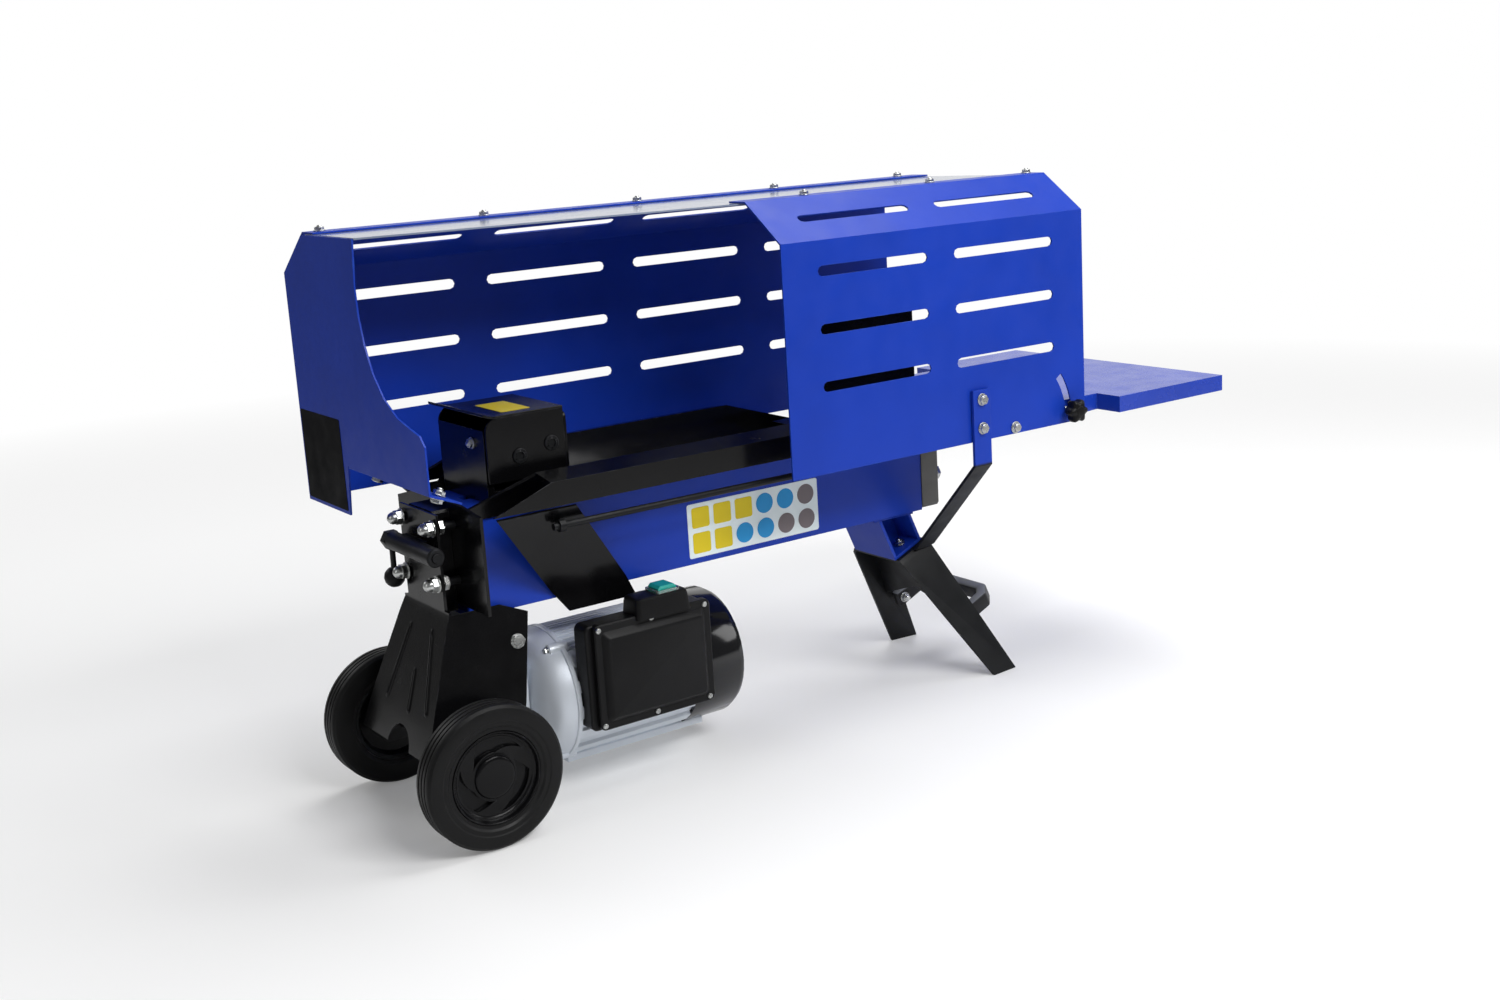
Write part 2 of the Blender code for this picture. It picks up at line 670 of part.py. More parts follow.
def make_guard_front():
    path = mirror_y(guard_path(FRONT_Z0))[::-1]
    outline = thick_path(path, GUARD_T)
    front = add_object("guard_front", *prism(outline, "X", FRONT_X0, FRONT_X1), "blue", MACHINE)
    holes = [side_hole(STRAP_X, z, 4.4, -1) for z in STRAP_BOLT_Z]
    holes.append(side_hole(PIVOT_X, PIVOT_Z, 4.4, -1))
    arc = arc_slot(KNOB_RADIUS, KNOB_ANGLE - 4, KNOB_ANGLE + TABLE_TILT + 4, 11)
    holes.append(prism(arc, "Y", -GUARD_HALF_Y - 15, -GUARD_HALF_Y + 15))
    cut(front, "cut_guard_front", *slot_cutters(-1, FRONT_SLOT_X0, FRONT_SLOT_COLUMNS))
    cut(front, "cut_guard_front_holes", *holes)


def make_guard_top():
    """The flat strip that joins the two sides under their lips; it narrows over the loading side."""
    plan = [
        (GUARD_X0 + GAP, -39),
        (FRONT_X0, -92),
        (FRONT_X1 - 4, -92),
        (BACK_X1 - 4, 94),
        (GUARD_X0 + GAP, 94),
    ]
    z1 = GUARD_TOP_Z - GAP
    add_object("guard_top", *prism(plan, "Z", z1 - GUARD_T, z1), "grey_top", MACHINE)


def make_guard_end():
    """The end panel: a tab low at the back, a sweep cut away at the front, and a turned-in flange."""
    outline = [
        (166, BACK_Z0),
        (166, GUARD_FOLD_Z - 1),
        (GUARD_FLAT_Y - 1, GUARD_TOP_Z - 1),
        (-39, GUARD_TOP_Z - 1),
        (-32, 600),
        (-34, 570),
        (-42, 541),
        (-56, 513),
        (-78, 489),
        (-108, 472),
        (-140, 464),
        (-158, 460),
        (-168, 450),
        (-168, 402),
        (38, 402),
        (46, BACK_Z0),
    ]
    plate = prism(outline, "X", GUARD_X0 - GUARD_T, GUARD_X0)
    end = add_object("guard_end", *plate, "blue", MACHINE)
    lip = thick_path([(GUARD_X0 - GUARD_T, 402), (GUARD_X0 - GUARD_T, 400), (-22, 386)], GUARD_T)
    fuse(end, "weld_guard_end", prism(lip, "Y", -168, 36))


# ---------------------------------------------------------------- outfeed table


def table_point(radius, degrees):
    a = math.radians(degrees)
    return PIVOT_X + radius * math.cos(a), PIVOT_Z + radius * math.sin(a)


def make_table(body):
    """A tray turned upside down: narrow between the guard's sides, wide beyond them, with skirts."""
    inner_x = PIVOT_X - 22
    home = (PIVOT_X, 0, PIVOT_Z)
    plan = [
        (inner_x, -TABLE_INNER_Y),
        (TABLE_STEP_X, -TABLE_INNER_Y),
        (TABLE_STEP_X, -TABLE_OUTER_Y),
        (TABLE_X1, -TABLE_OUTER_Y),
        (TABLE_X1, TABLE_OUTER_Y),
        (TABLE_STEP_X, TABLE_OUTER_Y),
        (TABLE_STEP_X, TABLE_INNER_Y),
        (inner_x, TABLE_INNER_Y),
    ]
    top = prism(plan, "Z", TABLE_Z - TABLE_T, TABLE_Z)
    table = add_object("table", *top, "blue", body, home)
    low, high = TABLE_Z - TABLE_SKIRT, TABLE_Z - TABLE_T / 2
    rims = [
        box(TABLE_X1 - TABLE_T, TABLE_X1, -TABLE_OUTER_Y, TABLE_OUTER_Y, low, high),
        box(TABLE_STEP_X, TABLE_X1 - 1, -TABLE_OUTER_Y, -TABLE_OUTER_Y + TABLE_T, low, high),
        box(TABLE_STEP_X, TABLE_X1 - 1, TABLE_OUTER_Y - TABLE_T, TABLE_OUTER_Y, low, high),
        box(TABLE_STEP_X, TABLE_STEP_X + TABLE_T, -TABLE_OUTER_Y + 1, -TABLE_INNER_Y + 2, low, high),
        box(TABLE_STEP_X, TABLE_STEP_X + TABLE_T, TABLE_INNER_Y - 2, TABLE_OUTER_Y - 1, low, high),
    ]
    ear_z = FRONT_Z0 + 1.4
    ear = [(inner_x, high), (inner_x, ear_z + 3), (PIVOT_X - 10, ear_z), (PIVOT_X + 20, ear_z)]
    ear += [(TABLE_STEP_X + 1, low), (TABLE_STEP_X + 1, high)]
    for side in (-1, 1):
        a, b = sorted((side * TABLE_INNER_Y, side * (TABLE_INNER_Y - TABLE_T)))
        rims.append(prism(ear, "Y", a, b))
    fuse(table, "weld_table", *rims)
    knob_x, knob_z = table_point(KNOB_RADIUS, KNOB_ANGLE)
    holes = [
        rod_shape("Y", (PIVOT_X, 0, PIVOT_Z), side * TABLE_INNER_Y - 12, side * TABLE_INNER_Y + 12, 4.4, 12)
        for side in (-1, 1)
    ]
    holes.append(rod_shape("Y", (knob_x, 0, knob_z), -TABLE_INNER_Y - 12, -TABLE_INNER_Y + 12, 4.4, 12))
    cut(table, "cut_table", *holes)


def bolt_shape(centre, sign, outside, inside, head=6.5, nut=6.5, shank=4.0):
    """A bolt along Y: head on the outside face, nut on the inside one, as one solid."""
    head_y, nut_y = 5.5, 6.0
    profile = [
        (inside - nut_y, 0),
        (inside - nut_y, nut * 0.95),
        (inside, nut),
        (inside, shank),
        (outside, shank),
        (outside, head),
        (outside + head_y, head * 0.95),
        (outside + head_y, 0),
    ]
    if sign < 0:
        profile = [(-distance, radius) for distance, radius in profile][::-1]
    return lathe(profile, "Y", centre, 12)


def make_pivot_bolts():
    for name, sign in (("pivot_bolt_near", -1), ("pivot_bolt_far", 1)):
        shape = bolt_shape((PIVOT_X, 0, PIVOT_Z), sign, GUARD_HALF_Y + GAP, TABLE_INNER_Y - TABLE_T - GAP)
        smooth(add_object(name, *shape, "zinc", MACHINE))


def make_knob(body):
    """A six-lobed clamping knob on a stud that passes through the arc slot and the table's ear."""
    knob_x, knob_z = table_point(KNOB_RADIUS, KNOB_ANGLE)
    home = (knob_x, 0, knob_z)
    lobes = []
    for i in range(36):
        a = 2 * math.pi * i / 36
        r = 13.5 + 2.2 * math.cos(6 * a)
        lobes.append((knob_x + r * math.cos(a), knob_z + r * math.sin(a)))
    outer = -GUARD_HALF_Y - GUARD_T
    knob = add_object("knob", *prism(lobes, "Y", outer - 20, outer - 4), "plastic", body, home)
    stud = rod_shape("Y", home, outer - 10, -TABLE_INNER_Y + 10, 4.0, 12)
    collar = rod_shape("Y", home, outer - 8, outer - GAP, 8.5, 16)
    fuse(knob, "weld_knob", stud, collar)


# ---------------------------------------------------------------- leg, foot, straps


def leg_frame():
    """Where the leg starts under the beam, and its directions down the leg and across it."""
    down = Vector((math.sin(LEG_ANGLE), 0, -math.cos(LEG_ANGLE)))
    across = Vector((math.cos(LEG_ANGLE), 0, math.sin(LEG_ANGLE)))
    return Vector((LEG_X_AT_BEAM, 0, BEAM_Z0 - GAP)), down, across


def on_leg(along, across_by, y=0.0):
    start, down, across = leg_frame()
    point = start + down * along + across * across_by
    return point.x, y, point.z


def leg_block(along, depth, side):
    """A block square to the leg, from its two ends down the leg, across it and sideways."""
    corners = ((0, 0), (1, 0), (1, 1), (0, 1))
    points = [on_leg(along[i], depth[j], y) for y in side for i, j in corners]
    rings = [[0, 1, 2, 3], [4, 5, 6, 7]]
    return points, ring_faces(rings, False) + [tuple(ring) for ring in rings]


def make_leg():
    """A slanting H section with a closed lower end, cut level under the beam and welded to a pad there."""
    above, inset = -40.0, 0.5
    sides = (-LEG_HALF_Y, LEG_HALF_Y)
    front = leg_block((above, LEG_LENGTH - inset), (0, LEG_WALL), sides)
    back = leg_block((above, LEG_LENGTH - inset), (LEG_DEPTH - LEG_WALL, LEG_DEPTH), sides)
    web = leg_block((above, LEG_LENGTH - 1), (1, LEG_DEPTH - 1), (-LEG_WALL / 2, LEG_WALL / 2))
    end_sides = (-LEG_HALF_Y + inset, LEG_HALF_Y - inset)
    end = leg_block((LEG_LENGTH - LEG_WALL, LEG_LENGTH), (inset, LEG_DEPTH - inset), end_sides)
    leg = add_object("leg", *front, "blue", MACHINE)
    fuse(leg, "weld_leg", back, web, end)
    cut(leg, "cut_leg_level", box(500, 800, -100, 100, BEAM_Z0 - GAP, BEAM_Z0 + 90))
    pad_x = LEG_X_AT_BEAM - 6, LEG_X_AT_BEAM + LEG_DEPTH / math.cos(LEG_ANGLE) + 6
    pad = box(*pad_x, -LEG_HALF_Y - inset, LEG_HALF_Y + inset, BEAM_Z0 - 5, BEAM_Z0 - GAP)
    fuse(leg, "weld_leg_pad", pad)


def make_foot():
    """One folded sheet, a plate under the leg and two splayed toes, with a gusset welded between them."""
    start = LEG_LENGTH + GAP
    rows = [
        [on_leg(start, depth, FOOT_FLAT_Y) for depth in FOOT_DEPTHS],
        [on_leg(start + FOOT_BEND_DROP, depth, FOOT_BEND_Y) for depth in FOOT_DEPTHS],
        [TOE_TIP_FRONT, TOE_TIP_BACK],
    ]
    points, faces = [], []
    for sign in (-1, 1):
        first = len(points)
        points += [(x, sign * y, z) for row in rows for x, y, z in row]
        faces += [(first + i, first + i + 1, first + i + 3, first + i + 2) for i in (0, 2)]
    near_front, near_back, far_front, far_back = 0, 1, 6, 7
    faces.append((near_front, near_back, far_back, far_front))
    foot = add_object("foot", points, faces, "black", MACHINE)
    thicken(foot, FOOT_T, (0, 0, 1), -1)
    half = [(0, 145), (78, 176), (51.5, 79), (46, 70.5)]
    outline = half + [(-y, along) for y, along in half[:0:-1]]
    gusset_points = [on_leg(along, depth, y) for depth in GUSSET_DEPTHS for y, along in outline]
    low, high = list(range(len(outline))), list(range(len(outline), 2 * len(outline)))
    gusset_faces = ring_faces([low, high], False) + [tuple(low), tuple(high)]
    fuse(foot, "weld_gusset", (gusset_points, gusset_faces))
    cut(foot, "cut_floor", box(600, 900, -200, 200, -30, 0))


def make_tow_handle():
    """A U-shaped grip standing out behind the foot, square to the leg."""
    outer, half = HANDLE_OUTER, HANDLE_HALF
    bend_depth, bend_y = outer - HANDLE_CORNER, half - HANDLE_CORNER
    path = [(HANDLE_ROOT, -half), (bend_depth, -half), (outer, -bend_y)]
    path += [(outer, bend_y), (bend_depth, half), (HANDLE_ROOT, half)]
    outline = thick_path(path, HANDLE_T)
    points = [on_leg(along, depth, y) for along in HANDLE_ALONG for depth, y in outline]
    count = len(outline)
    faces = ring_faces([list(range(count)), list(range(count, 2 * count))], False)
    faces += [tuple(range(count)), tuple(range(count, 2 * count))]
    handle = add_object("tow_handle", points, faces, "plastic", MACHINE)
    bevel = handle.modifiers.new("Round", "BEVEL")
    bevel.width = 3 * MM
    bevel.segments = 2
    bevel.limit_method = "ANGLE"
    smooth(handle)


def make_straps():
    """Bent flat bars from the guard's flanks down to the foot's folds, which their ends fit round."""
    fold = LEG_LENGTH + FOOT_BEND_DROP
    below = leg_block((fold - GAP, 140), (-60, 160), (-130, 130))
    beside = leg_block((LEG_LENGTH, 140), (-60, 160), (-FOOT_BEND_Y - 2 * GAP, FOOT_BEND_Y + 2 * GAP))
    for name, sign in (("strap_near", -1), ("strap_far", 1)):
        outside = GUARD_HALF_Y + GUARD_T / 2 + GAP
        path = [(outside, 402), (outside, 308), (46, 177)]
        path = path if sign > 0 else mirror_y(path)[::-1]
        low, high = STRAP_X - STRAP_WIDTH / 2, STRAP_X + STRAP_WIDTH / 2
        strap = add_object(name, *prism(thick_path(path, STRAP_T), "X", low, high), "zinc", MACHINE)
        holes = [side_hole(STRAP_X, z, 4.4, sign) for z in STRAP_BOLT_Z]
        cut(strap, f"cut_{name}", *holes)
        cut(strap, f"cut_{name}_below", below)
        cut(strap, f"cut_{name}_beside", beside)


def make_strap_bolts():
    outside = GUARD_HALF_Y + GUARD_T / 2 + STRAP_T + 2 * GAP
    for number, z in enumerate(STRAP_BOLT_Z, 1):
        shape = bolt_shape((STRAP_X, 0, z), -1, outside, GUARD_HALF_Y - GUARD_T - GAP)
        smooth(add_object(f"strap_bolt_{number}", *shape, "zinc", MACHINE))


# ---------------------------------------------------------------- wheels


def make_bracket():
    """Pressed bracket: an upright plate behind the valve, a face that leans out, and two splayed cheeks."""
    points, faces = [], []
    for z, x_face, half, x_back in BRACKET_ROWS:
        spread = half + 0.6 if x_back else half
        points += [(x_face, -half, z), (x_face, half, z), (x_back, -spread, z), (x_back, spread, z)]
    last = len(BRACKET_ROWS) - 1
    for row in range(last):
        a, b = 4 * row, 4 * (row + 1)
        if row < last - 1:
            faces.append((a, a + 1, b + 1, b))
        if row > 0:
            faces.append((a, a + 2, b + 2, b))
            faces.append((a + 1, a + 3, b + 3, b + 1))
    bracket = add_object("wheel_bracket", *without_spares(points, faces), "black", MACHINE)
    thicken(bracket, BRACKET_T, (-1, 0, 0), -1)
    axle_hole = rod_shape("Y", (0, 0, WHEEL_R), -120, 120, AXLE_R + 0.4, 16)
    arch = rod_shape("X", (0, ARCH_Y, ARCH_Z), -75, -36, ARCH_R, 32)
    cut(bracket, "cut_bracket", axle_hole, arch)
    shoulders = [box(-10, 10, min(s * 47, s * 70), max(s * 47, s * 70), 243, 360) for s in (-1, 1)]
    cut(bracket, "cut_bracket_top", *tie_holes(-20, 20), *shoulders)


def make_axle():
    """The axle ends inside the closed hubs."""
    end = WHEEL_Y + 8
    profile = [(-end, 0), (-end, AXLE_R - 1), (-end + 1, AXLE_R)]
    profile += [(end - 1, AXLE_R), (end, AXLE_R - 1), (end, 0)]
    smooth(add_object("axle", *lathe(profile, "Y", (0, 0, WHEEL_R), 16), "steel", MACHINE))


def make_wheel(name, side, body):
    centre = (0, side * WHEEL_Y, WHEEL_R)
    half = WHEEL_WIDTH / 2
    tread = []
    for groove in (-8.0, 0.0, 8.0):
        tread += [(groove - 1.2, WHEEL_R), (groove - 0.8, WHEEL_R - 2)]
        tread += [(groove + 0.8, WHEEL_R - 2), (groove + 1.2, WHEEL_R)]
    tyre = [(-half + 4, RIM_R + GAP), (-half, RIM_R + 8), (-half, WHEEL_R - 8), (-half + 5, WHEEL_R)]
    tyre += tread
    tyre += [(half - 5, WHEEL_R), (half, WHEEL_R - 8), (half, RIM_R + 8), (half - 4, RIM_R + GAP)]
    tyre_shape = lathe(tyre, "Y", centre, 40, ring=True)
    smooth(add_object(f"tyre_{name}", *tyre_shape, "rubber", body, centre), 25)
    bore = AXLE_R + 0.5
    rim = [
        (9, 0),
        (9, bore),
        (-half + 5, bore),
        (-half + 5, 17),
        (-5, 19),
        (-5, RIM_R - 8),
        (-half + 6, RIM_R - 4),
        (-half + 6, RIM_R),
        (half - 6, RIM_R),
        (half - 6, RIM_R - 4),
        (5, RIM_R - 8),
        (5, 23),
        (half - 5, 21),
        (half - 5, 0),
    ]
    if side < 0:
        rim = [(-distance, radius) for distance, radius in rim]
    smooth(add_object(f"rim_{name}", *lathe(rim, "Y", centre, 40), "plastic", body, centre), 25)


# ---------------------------------------------------------------- motor and pump


def make_motor_frame():
    """Finned tube; every fin is one tooth of the outline."""
    fins = 36
    outline = []
    for i in range(fins):
        for share, radius in ((0.0, FIN_ROOT_R), (0.32, FIN_ROOT_R), (0.42, MOTOR_R - 3), (0.9, MOTOR_R - 3)):
            a = 2 * math.pi * (i + share) / fins
            outline.append((radius * math.cos(a), SHAFT_Z + radius * math.sin(a)))
    inner = circle(0, SHAFT_Z, MOTOR_BORE_R, len(outline))
    add_object("motor_frame", *prism(outline, "X", MOTOR_X0 + GAP, MOTOR_X1, inner), "aluminium", MACHINE)


def make_motor_shields():
    centre = (0, 0, SHAFT_Z)
    bearing = SHAFT_R + 0.4
    front = [
        (98, bearing),
        (98, 40),
        (104, 56),
        (112, 68),
        (122, 76),
        (MOTOR_X0, MOTOR_R),
        (MOTOR_X0, MOTOR_BORE_R),
        (122, MOTOR_BORE_R - 4),
        (112, 30),
        (112, 20),
        (122, 20),
        (122, bearing),
    ]
    front_shape = lathe(front, "X", centre, 40, ring=True)
    smooth(add_object("motor_front_shield", *front_shape, "aluminium", MACHINE), 25)
    rear = [
        (MOTOR_X1 + GAP, bearing),
        (MOTOR_X1 + GAP, MOTOR_R - 6),
        (MOTOR_X1 + 10, MOTOR_R - 6),
        (MOTOR_X1 + 14, 24),
        (MOTOR_X1 + 14, bearing),
    ]
    smooth(add_object("motor_rear_shield", *lathe(rear, "X", centre, 32, ring=True), "aluminium", MACHINE))


def make_fan_cover():
    """A plastic cup over the fan, with a ring of air slots in its end."""
    x0, x1 = MOTOR_X1 + GAP, FAN_COVER_X1
    outer = [(x0, MOTOR_R), (x1 - 14, MOTOR_R), (x1 - 5, MOTOR_R - 5), (x1, MOTOR_R - 16), (x1, 0)]
    inner = [(x1 - 3, 0), (x1 - 3, MOTOR_R - 18), (x1 - 8, MOTOR_R - 8), (x1 - 15, MOTOR_R - 3)]
    inner.append((x0, MOTOR_R - 2.5))
    cup = lathe(outer[::-1] + inner[::-1], "X", (0, 0, SHAFT_Z), 40)
    cover = add_object("fan_cover", *cup, "plastic", MACHINE)
    slots = []
    for i in range(12):
        turn = Matrix.Translation((0, 0, SHAFT_Z)) @ Matrix.Rotation(2 * math.pi * i / 12, 4, "X")
        slots.append(moved(box(x1 - 12, x1 + 5, -2.5, 2.5, 20, 52), turn))
    smooth(cut(cover, "cut_fan_cover", *slots), 25)


def make_stator():
    profile = [
        (168, 36),
        (160, 40),
        (160, 56),
        (168, MOTOR_BORE_R - GAP),
        (268, MOTOR_BORE_R - GAP),
        (276, 56),
        (276, 40),
        (268, 36),
    ]
    smooth(add_object("stator", *lathe(profile, "X", (0, 0, SHAFT_Z), 32, ring=True), "copper", MACHINE), 25)


def make_rotor(body):
    centre = (0, 0, SHAFT_Z)
    profile = [
        (GEAR_X0 - 4, 0),
        (GEAR_X0 - 4, 5.5),
        (GEAR_X1 + 14, 5.5),
        (GEAR_X1 + 14, SHAFT_R),
        (170, SHAFT_R),
        (170, 35.4),
        (266, 35.4),
        (266, SHAFT_R),
        (350, SHAFT_R),
        (350, 0),
    ]
    smooth(add_object("rotor", *lathe(profile, "X", centre, 24), "steel", body, centre))


def toothed_shape(teeth, root, tip, share, x0, x1, centre, bore, turn=0.0):
    """A toothed disc about X with a bore: gears and the fan are both made of it."""
    outline, inner = [], []
    for i in range(teeth):
        top = share * 0.55
        for part, radius in ((-0.5, root), (-share, root), (-top, tip), (top, tip), (share, root)):
            a = turn + 2 * math.pi * (i + part) / teeth
            outline.append((centre[1] + radius * math.cos(a), centre[2] + radius * math.sin(a)))
            inner.append((centre[1] + bore * math.cos(a), centre[2] + bore * math.sin(a)))
    return prism(outline, "X", x0, x1, inner)


def make_fan(body):
    centre = (0, 0, SHAFT_Z)
    shape = toothed_shape(7, 17, 60, 0.12, 326, 346, centre, SHAFT_R + GAP)
    add_object("fan", *shape, "plastic", body, centre)


def make_gears(drive_body, driven_body):
    """The pump's pair of gears: the lower one is on the motor's shaft."""
    low = (0, 0, SHAFT_Z)
    high = (0, 0, SHAFT_Z + GEAR_SPACING)
    up = math.pi / 2
    drive = toothed_shape(GEAR_TEETH, GEAR_ROOT_R, GEAR_TIP_R, 0.24, GEAR_X0, GEAR_X1, low, 5.5 + GAP, up)
    add_object("drive_gear", *drive, "steel", drive_body, low)
    half_tooth = math.pi / GEAR_TEETH
    outline = toothed_shape(
        GEAR_TEETH, GEAR_ROOT_R, GEAR_TIP_R, 0.24, GEAR_X0, GEAR_X1, high, 5.5, -up + half_tooth
    )
    gear = add_object("driven_gear", *outline, "steel", driven_body, high)
    fuse(gear, "weld_driven_gear", rod_shape("X", high, GEAR_X0 - 4, GEAR_X1 + 4, 5.9, 16))


def make_pump():
    """Aluminium gear pump between the bracket's cheeks: a body open towards the motor, and its cover."""
    x0, split, x1 = PUMP_X0, PUMP_SPLIT, PUMP_X1
    outline = [(-34, 72), (34, 72), (38, 80), (38, 156), (34, 164), (-34, 164), (-38, 156), (-38, 80)]
    pump = add_object("pump_body", *prism(outline, "X", x0, split), "aluminium", MACHINE)
    low, high = (0, 0, SHAFT_Z), (0, 0, SHAFT_Z + GEAR_SPACING)
    room = GEAR_TIP_R + 0.4
    pocket = []
    for i in range(25):
        a = math.pi + math.pi * i / 24
        pocket.append((room * math.cos(a), SHAFT_Z + room * math.sin(a)))
    for i in range(25):
        a = math.pi * i / 24
        pocket.append((room * math.cos(a), SHAFT_Z + GEAR_SPACING + room * math.sin(a)))
    cut(pump, "cut_pump_pocket", prism(pocket, "X", GEAR_X0 - 0.5, split + 5))
    cut(pump, "cut_pump_bearings", *[rod_shape("X", c, x0 + 6, GEAR_X0 + 2, 6.3, 16) for c in (low, high)])
    cover = add_object("pump_cover", *prism(outline, "X", split + GAP, x1), "aluminium", MACHINE)
    shaft_hole = rod_shape("X", low, split - 5, x1 + 5, SHAFT_R + 0.6, 16)
    pin_hole = rod_shape("X", high, split - 5, split + 8, 6.3, 16)
    cut(cover, "cut_pump_cover", shaft_hole, pin_hole)


def make_switch_box():
    """Plastic box on the near side of the motor, with a raised hood that holds the start button."""
    shell = box(BOX_X0, BOX_X1, BOX_Y0, BOX_Y1, BOX_Z0, BOX_Z1)
    case = add_object("switch_box", *shell, "plastic", MACHINE)
    top = BOX_Z1 + 19
    hood = [(208, BOX_Z1 - 3), (278, BOX_Z1 - 3), (276, top - 4), (270, top), (216, top), (210, top - 4)]
    fuse(case, "weld_switch_box", prism(hood, "Y", -108, -70))
    saddle = rod_shape("X", (0, 0, SHAFT_Z), 140, 320, MOTOR_R + 0.6, 48)
    cut(case, "cut_switch_box", saddle)
    well = [BUTTON_X[0] - 1, BUTTON_X[1] + 1, BUTTON_Y[0] - 1, BUTTON_Y[1] + 1]
    cut(case, "cut_button_well", box(*well, BUTTON_Z[0] - 4, BUTTON_Z[1]))


def make_button(body):
    (left, right), (low, high) = BUTTON_X, BUTTON_Z
    outline = [(left, low), (right, low), (right, high - 3)]
    outline += [(right - 3, high), (left + 3, high), (left, high - 3)]
    add_object("start_button", *prism(outline, "Y", *BUTTON_Y), "teal", body, BUTTON_HOME)


# ---------------------------------------------------------------- valve


def lean(start, end):
    """The matrix that stands a shape made on Z from start towards end."""
    along = Vector(end) - Vector(start)
    return Matrix.Translation(start) @ along.to_track_quat("Z", "Y").to_matrix().to_4x4()


def make_valve():
    """Round valve body lying across the bracket, open at both ends for the turning spool."""
    centre = (VALVE_X, 0, VALVE_Z)
    profile = [(-75, 0), (-75, 9.0), (-73, 10.5), (36, 10.5), (36, 0)]
    valve = add_object("valve_body", *lathe(profile, "Y", centre, 24), "black", MACHINE)
    seat = box(VALVE_X, -BRACKET_FRONT - GAP, -27, 27, VALVE_Z - 8, VALVE_Z + 8)
    fuse(valve, "weld_valve", seat)
    smooth(cut(valve, "cut_valve_bore", rod_shape("Y", centre, -90, 50, SPOOL_R + 0.5, 24)))


def make_lever(body):
    """The spool with its hexagon head, the lever screwed into the head, and the lever's knob."""
    centre = (VALVE_X, 0, VALVE_Z)
    profile = [(-76.5, 0), (-76.5, SPOOL_R), (-30, SPOOL_R), (-30, 3.8), (-12, 3.8), (-12, SPOOL_R)]
    profile += [(6, SPOOL_R), (6, 3.8), (20, 3.8), (20, SPOOL_R), (38, SPOOL_R), (38, 0)]
    spool = add_object("valve_spool", *lathe(profile, "Y", centre, 24), "steel", body, centre)
    head = prism(circle(VALVE_X, VALVE_Z, 11.5, 6), "Y", HEAD_Y0, HEAD_Y1)
    fuse(spool, "weld_spool_head", head)
    root = (VALVE_X, (HEAD_Y0 + HEAD_Y1) / 2, VALVE_Z)
    place = lean(root, LEVER_KNOB)
    cut(spool, "cut_spool_head", moved(rod_shape("Z", (0, 0, 0), 5, 30, 3.6, 16), place))
    length = (Vector(LEVER_KNOB) - Vector(root)).length
    stem = moved(rod_shape("Z", (0, 0, 0), 5.4, length + 2, 3.2, 16), place)
    smooth(add_object("control_lever", *stem, "steel", body, centre))
    ball = []
    for i in range(9):
        a = math.pi * i / 8
        ball.append((length - KNOB_R * math.cos(a), KNOB_R * math.sin(a)))
    knob = add_object("lever_knob", *moved(lathe(ball, "Z", (0, 0, 0), 20), place), "plastic", body, centre)
    smooth(cut(knob, "cut_lever_knob", moved(rod_shape("Z", (0, 0, 0), 5, length + 2.4, 3.6, 16), place)))


# ---------------------------------------------------------------- assembly


for leftover in list(bpy.data.objects):
    bpy.data.objects.remove(leftover, do_unlink=True)

HOMES["machine"] = (0, 0, 0)
MACHINE = add_empty("machine")
MACHINE.location = (-LENGTH_MIDDLE_X * MM, 0, 0)

PUSHER = add_empty("pusher", MACHINE, (PUSHER_X0, 0, RAM_Z))
TABLE = add_empty("table_hinge", MACHINE, (PIVOT_X, 0, PIVOT_Z))
KNOB_X, KNOB_Z = table_point(KNOB_RADIUS, KNOB_ANGLE)
KNOB = add_empty("knob_axis", TABLE, (KNOB_X, 0, KNOB_Z))
WHEEL_NEAR = add_empty("wheel_near", MACHINE, (0, -WHEEL_Y, WHEEL_R))
WHEEL_FAR = add_empty("wheel_far", MACHINE, (0, WHEEL_Y, WHEEL_R))
SHAFT = add_empty("shaft", MACHINE, (0, 0, SHAFT_Z))
IDLER = add_empty("idler", MACHINE, (0, 0, SHAFT_Z + GEAR_SPACING))
BUTTON = add_empty("button", MACHINE, BUTTON_HOME)
LEVER = add_empty("lever", MACHINE, (VALVE_X, 0, VALVE_Z))

make_beam()
make_beam_ends()
make_tie_rods()
make_cylinder()
make_ram(PUSHER)
make_pusher(PUSHER)
make_pusher_cover(PUSHER)
make_trays()
make_braces()
make_side_rod()
make_wedge()
make_guard_back()
make_guard_front()
make_guard_top()
make_guard_end()
make_table(TABLE)
make_pivot_bolts()
make_knob(KNOB)
make_leg()
make_foot()
make_tow_handle()
make_straps()
make_strap_bolts()
make_bracket()
make_axle()
make_wheel("near", -1, WHEEL_NEAR)
make_wheel("far", 1, WHEEL_FAR)
make_motor_frame()
make_motor_shields()
make_fan_cover()
make_stator()
make_rotor(SHAFT)
make_fan(SHAFT)
make_gears(SHAFT, IDLER)
make_pump()
make_switch_box()
make_button(BUTTON)
make_valve()
make_lever(LEVER)
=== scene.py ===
"""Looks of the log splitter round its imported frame: finishes, fittings, plain labels, floor, light, camera.

Lengths are millimetres from the wheel axle (X), the middle of the beam (Y) and the floor (Z); at() turns them
into the frame's metres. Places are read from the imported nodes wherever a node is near."""

import math

import bmesh
import bpy
from mathutils import Matrix, Vector


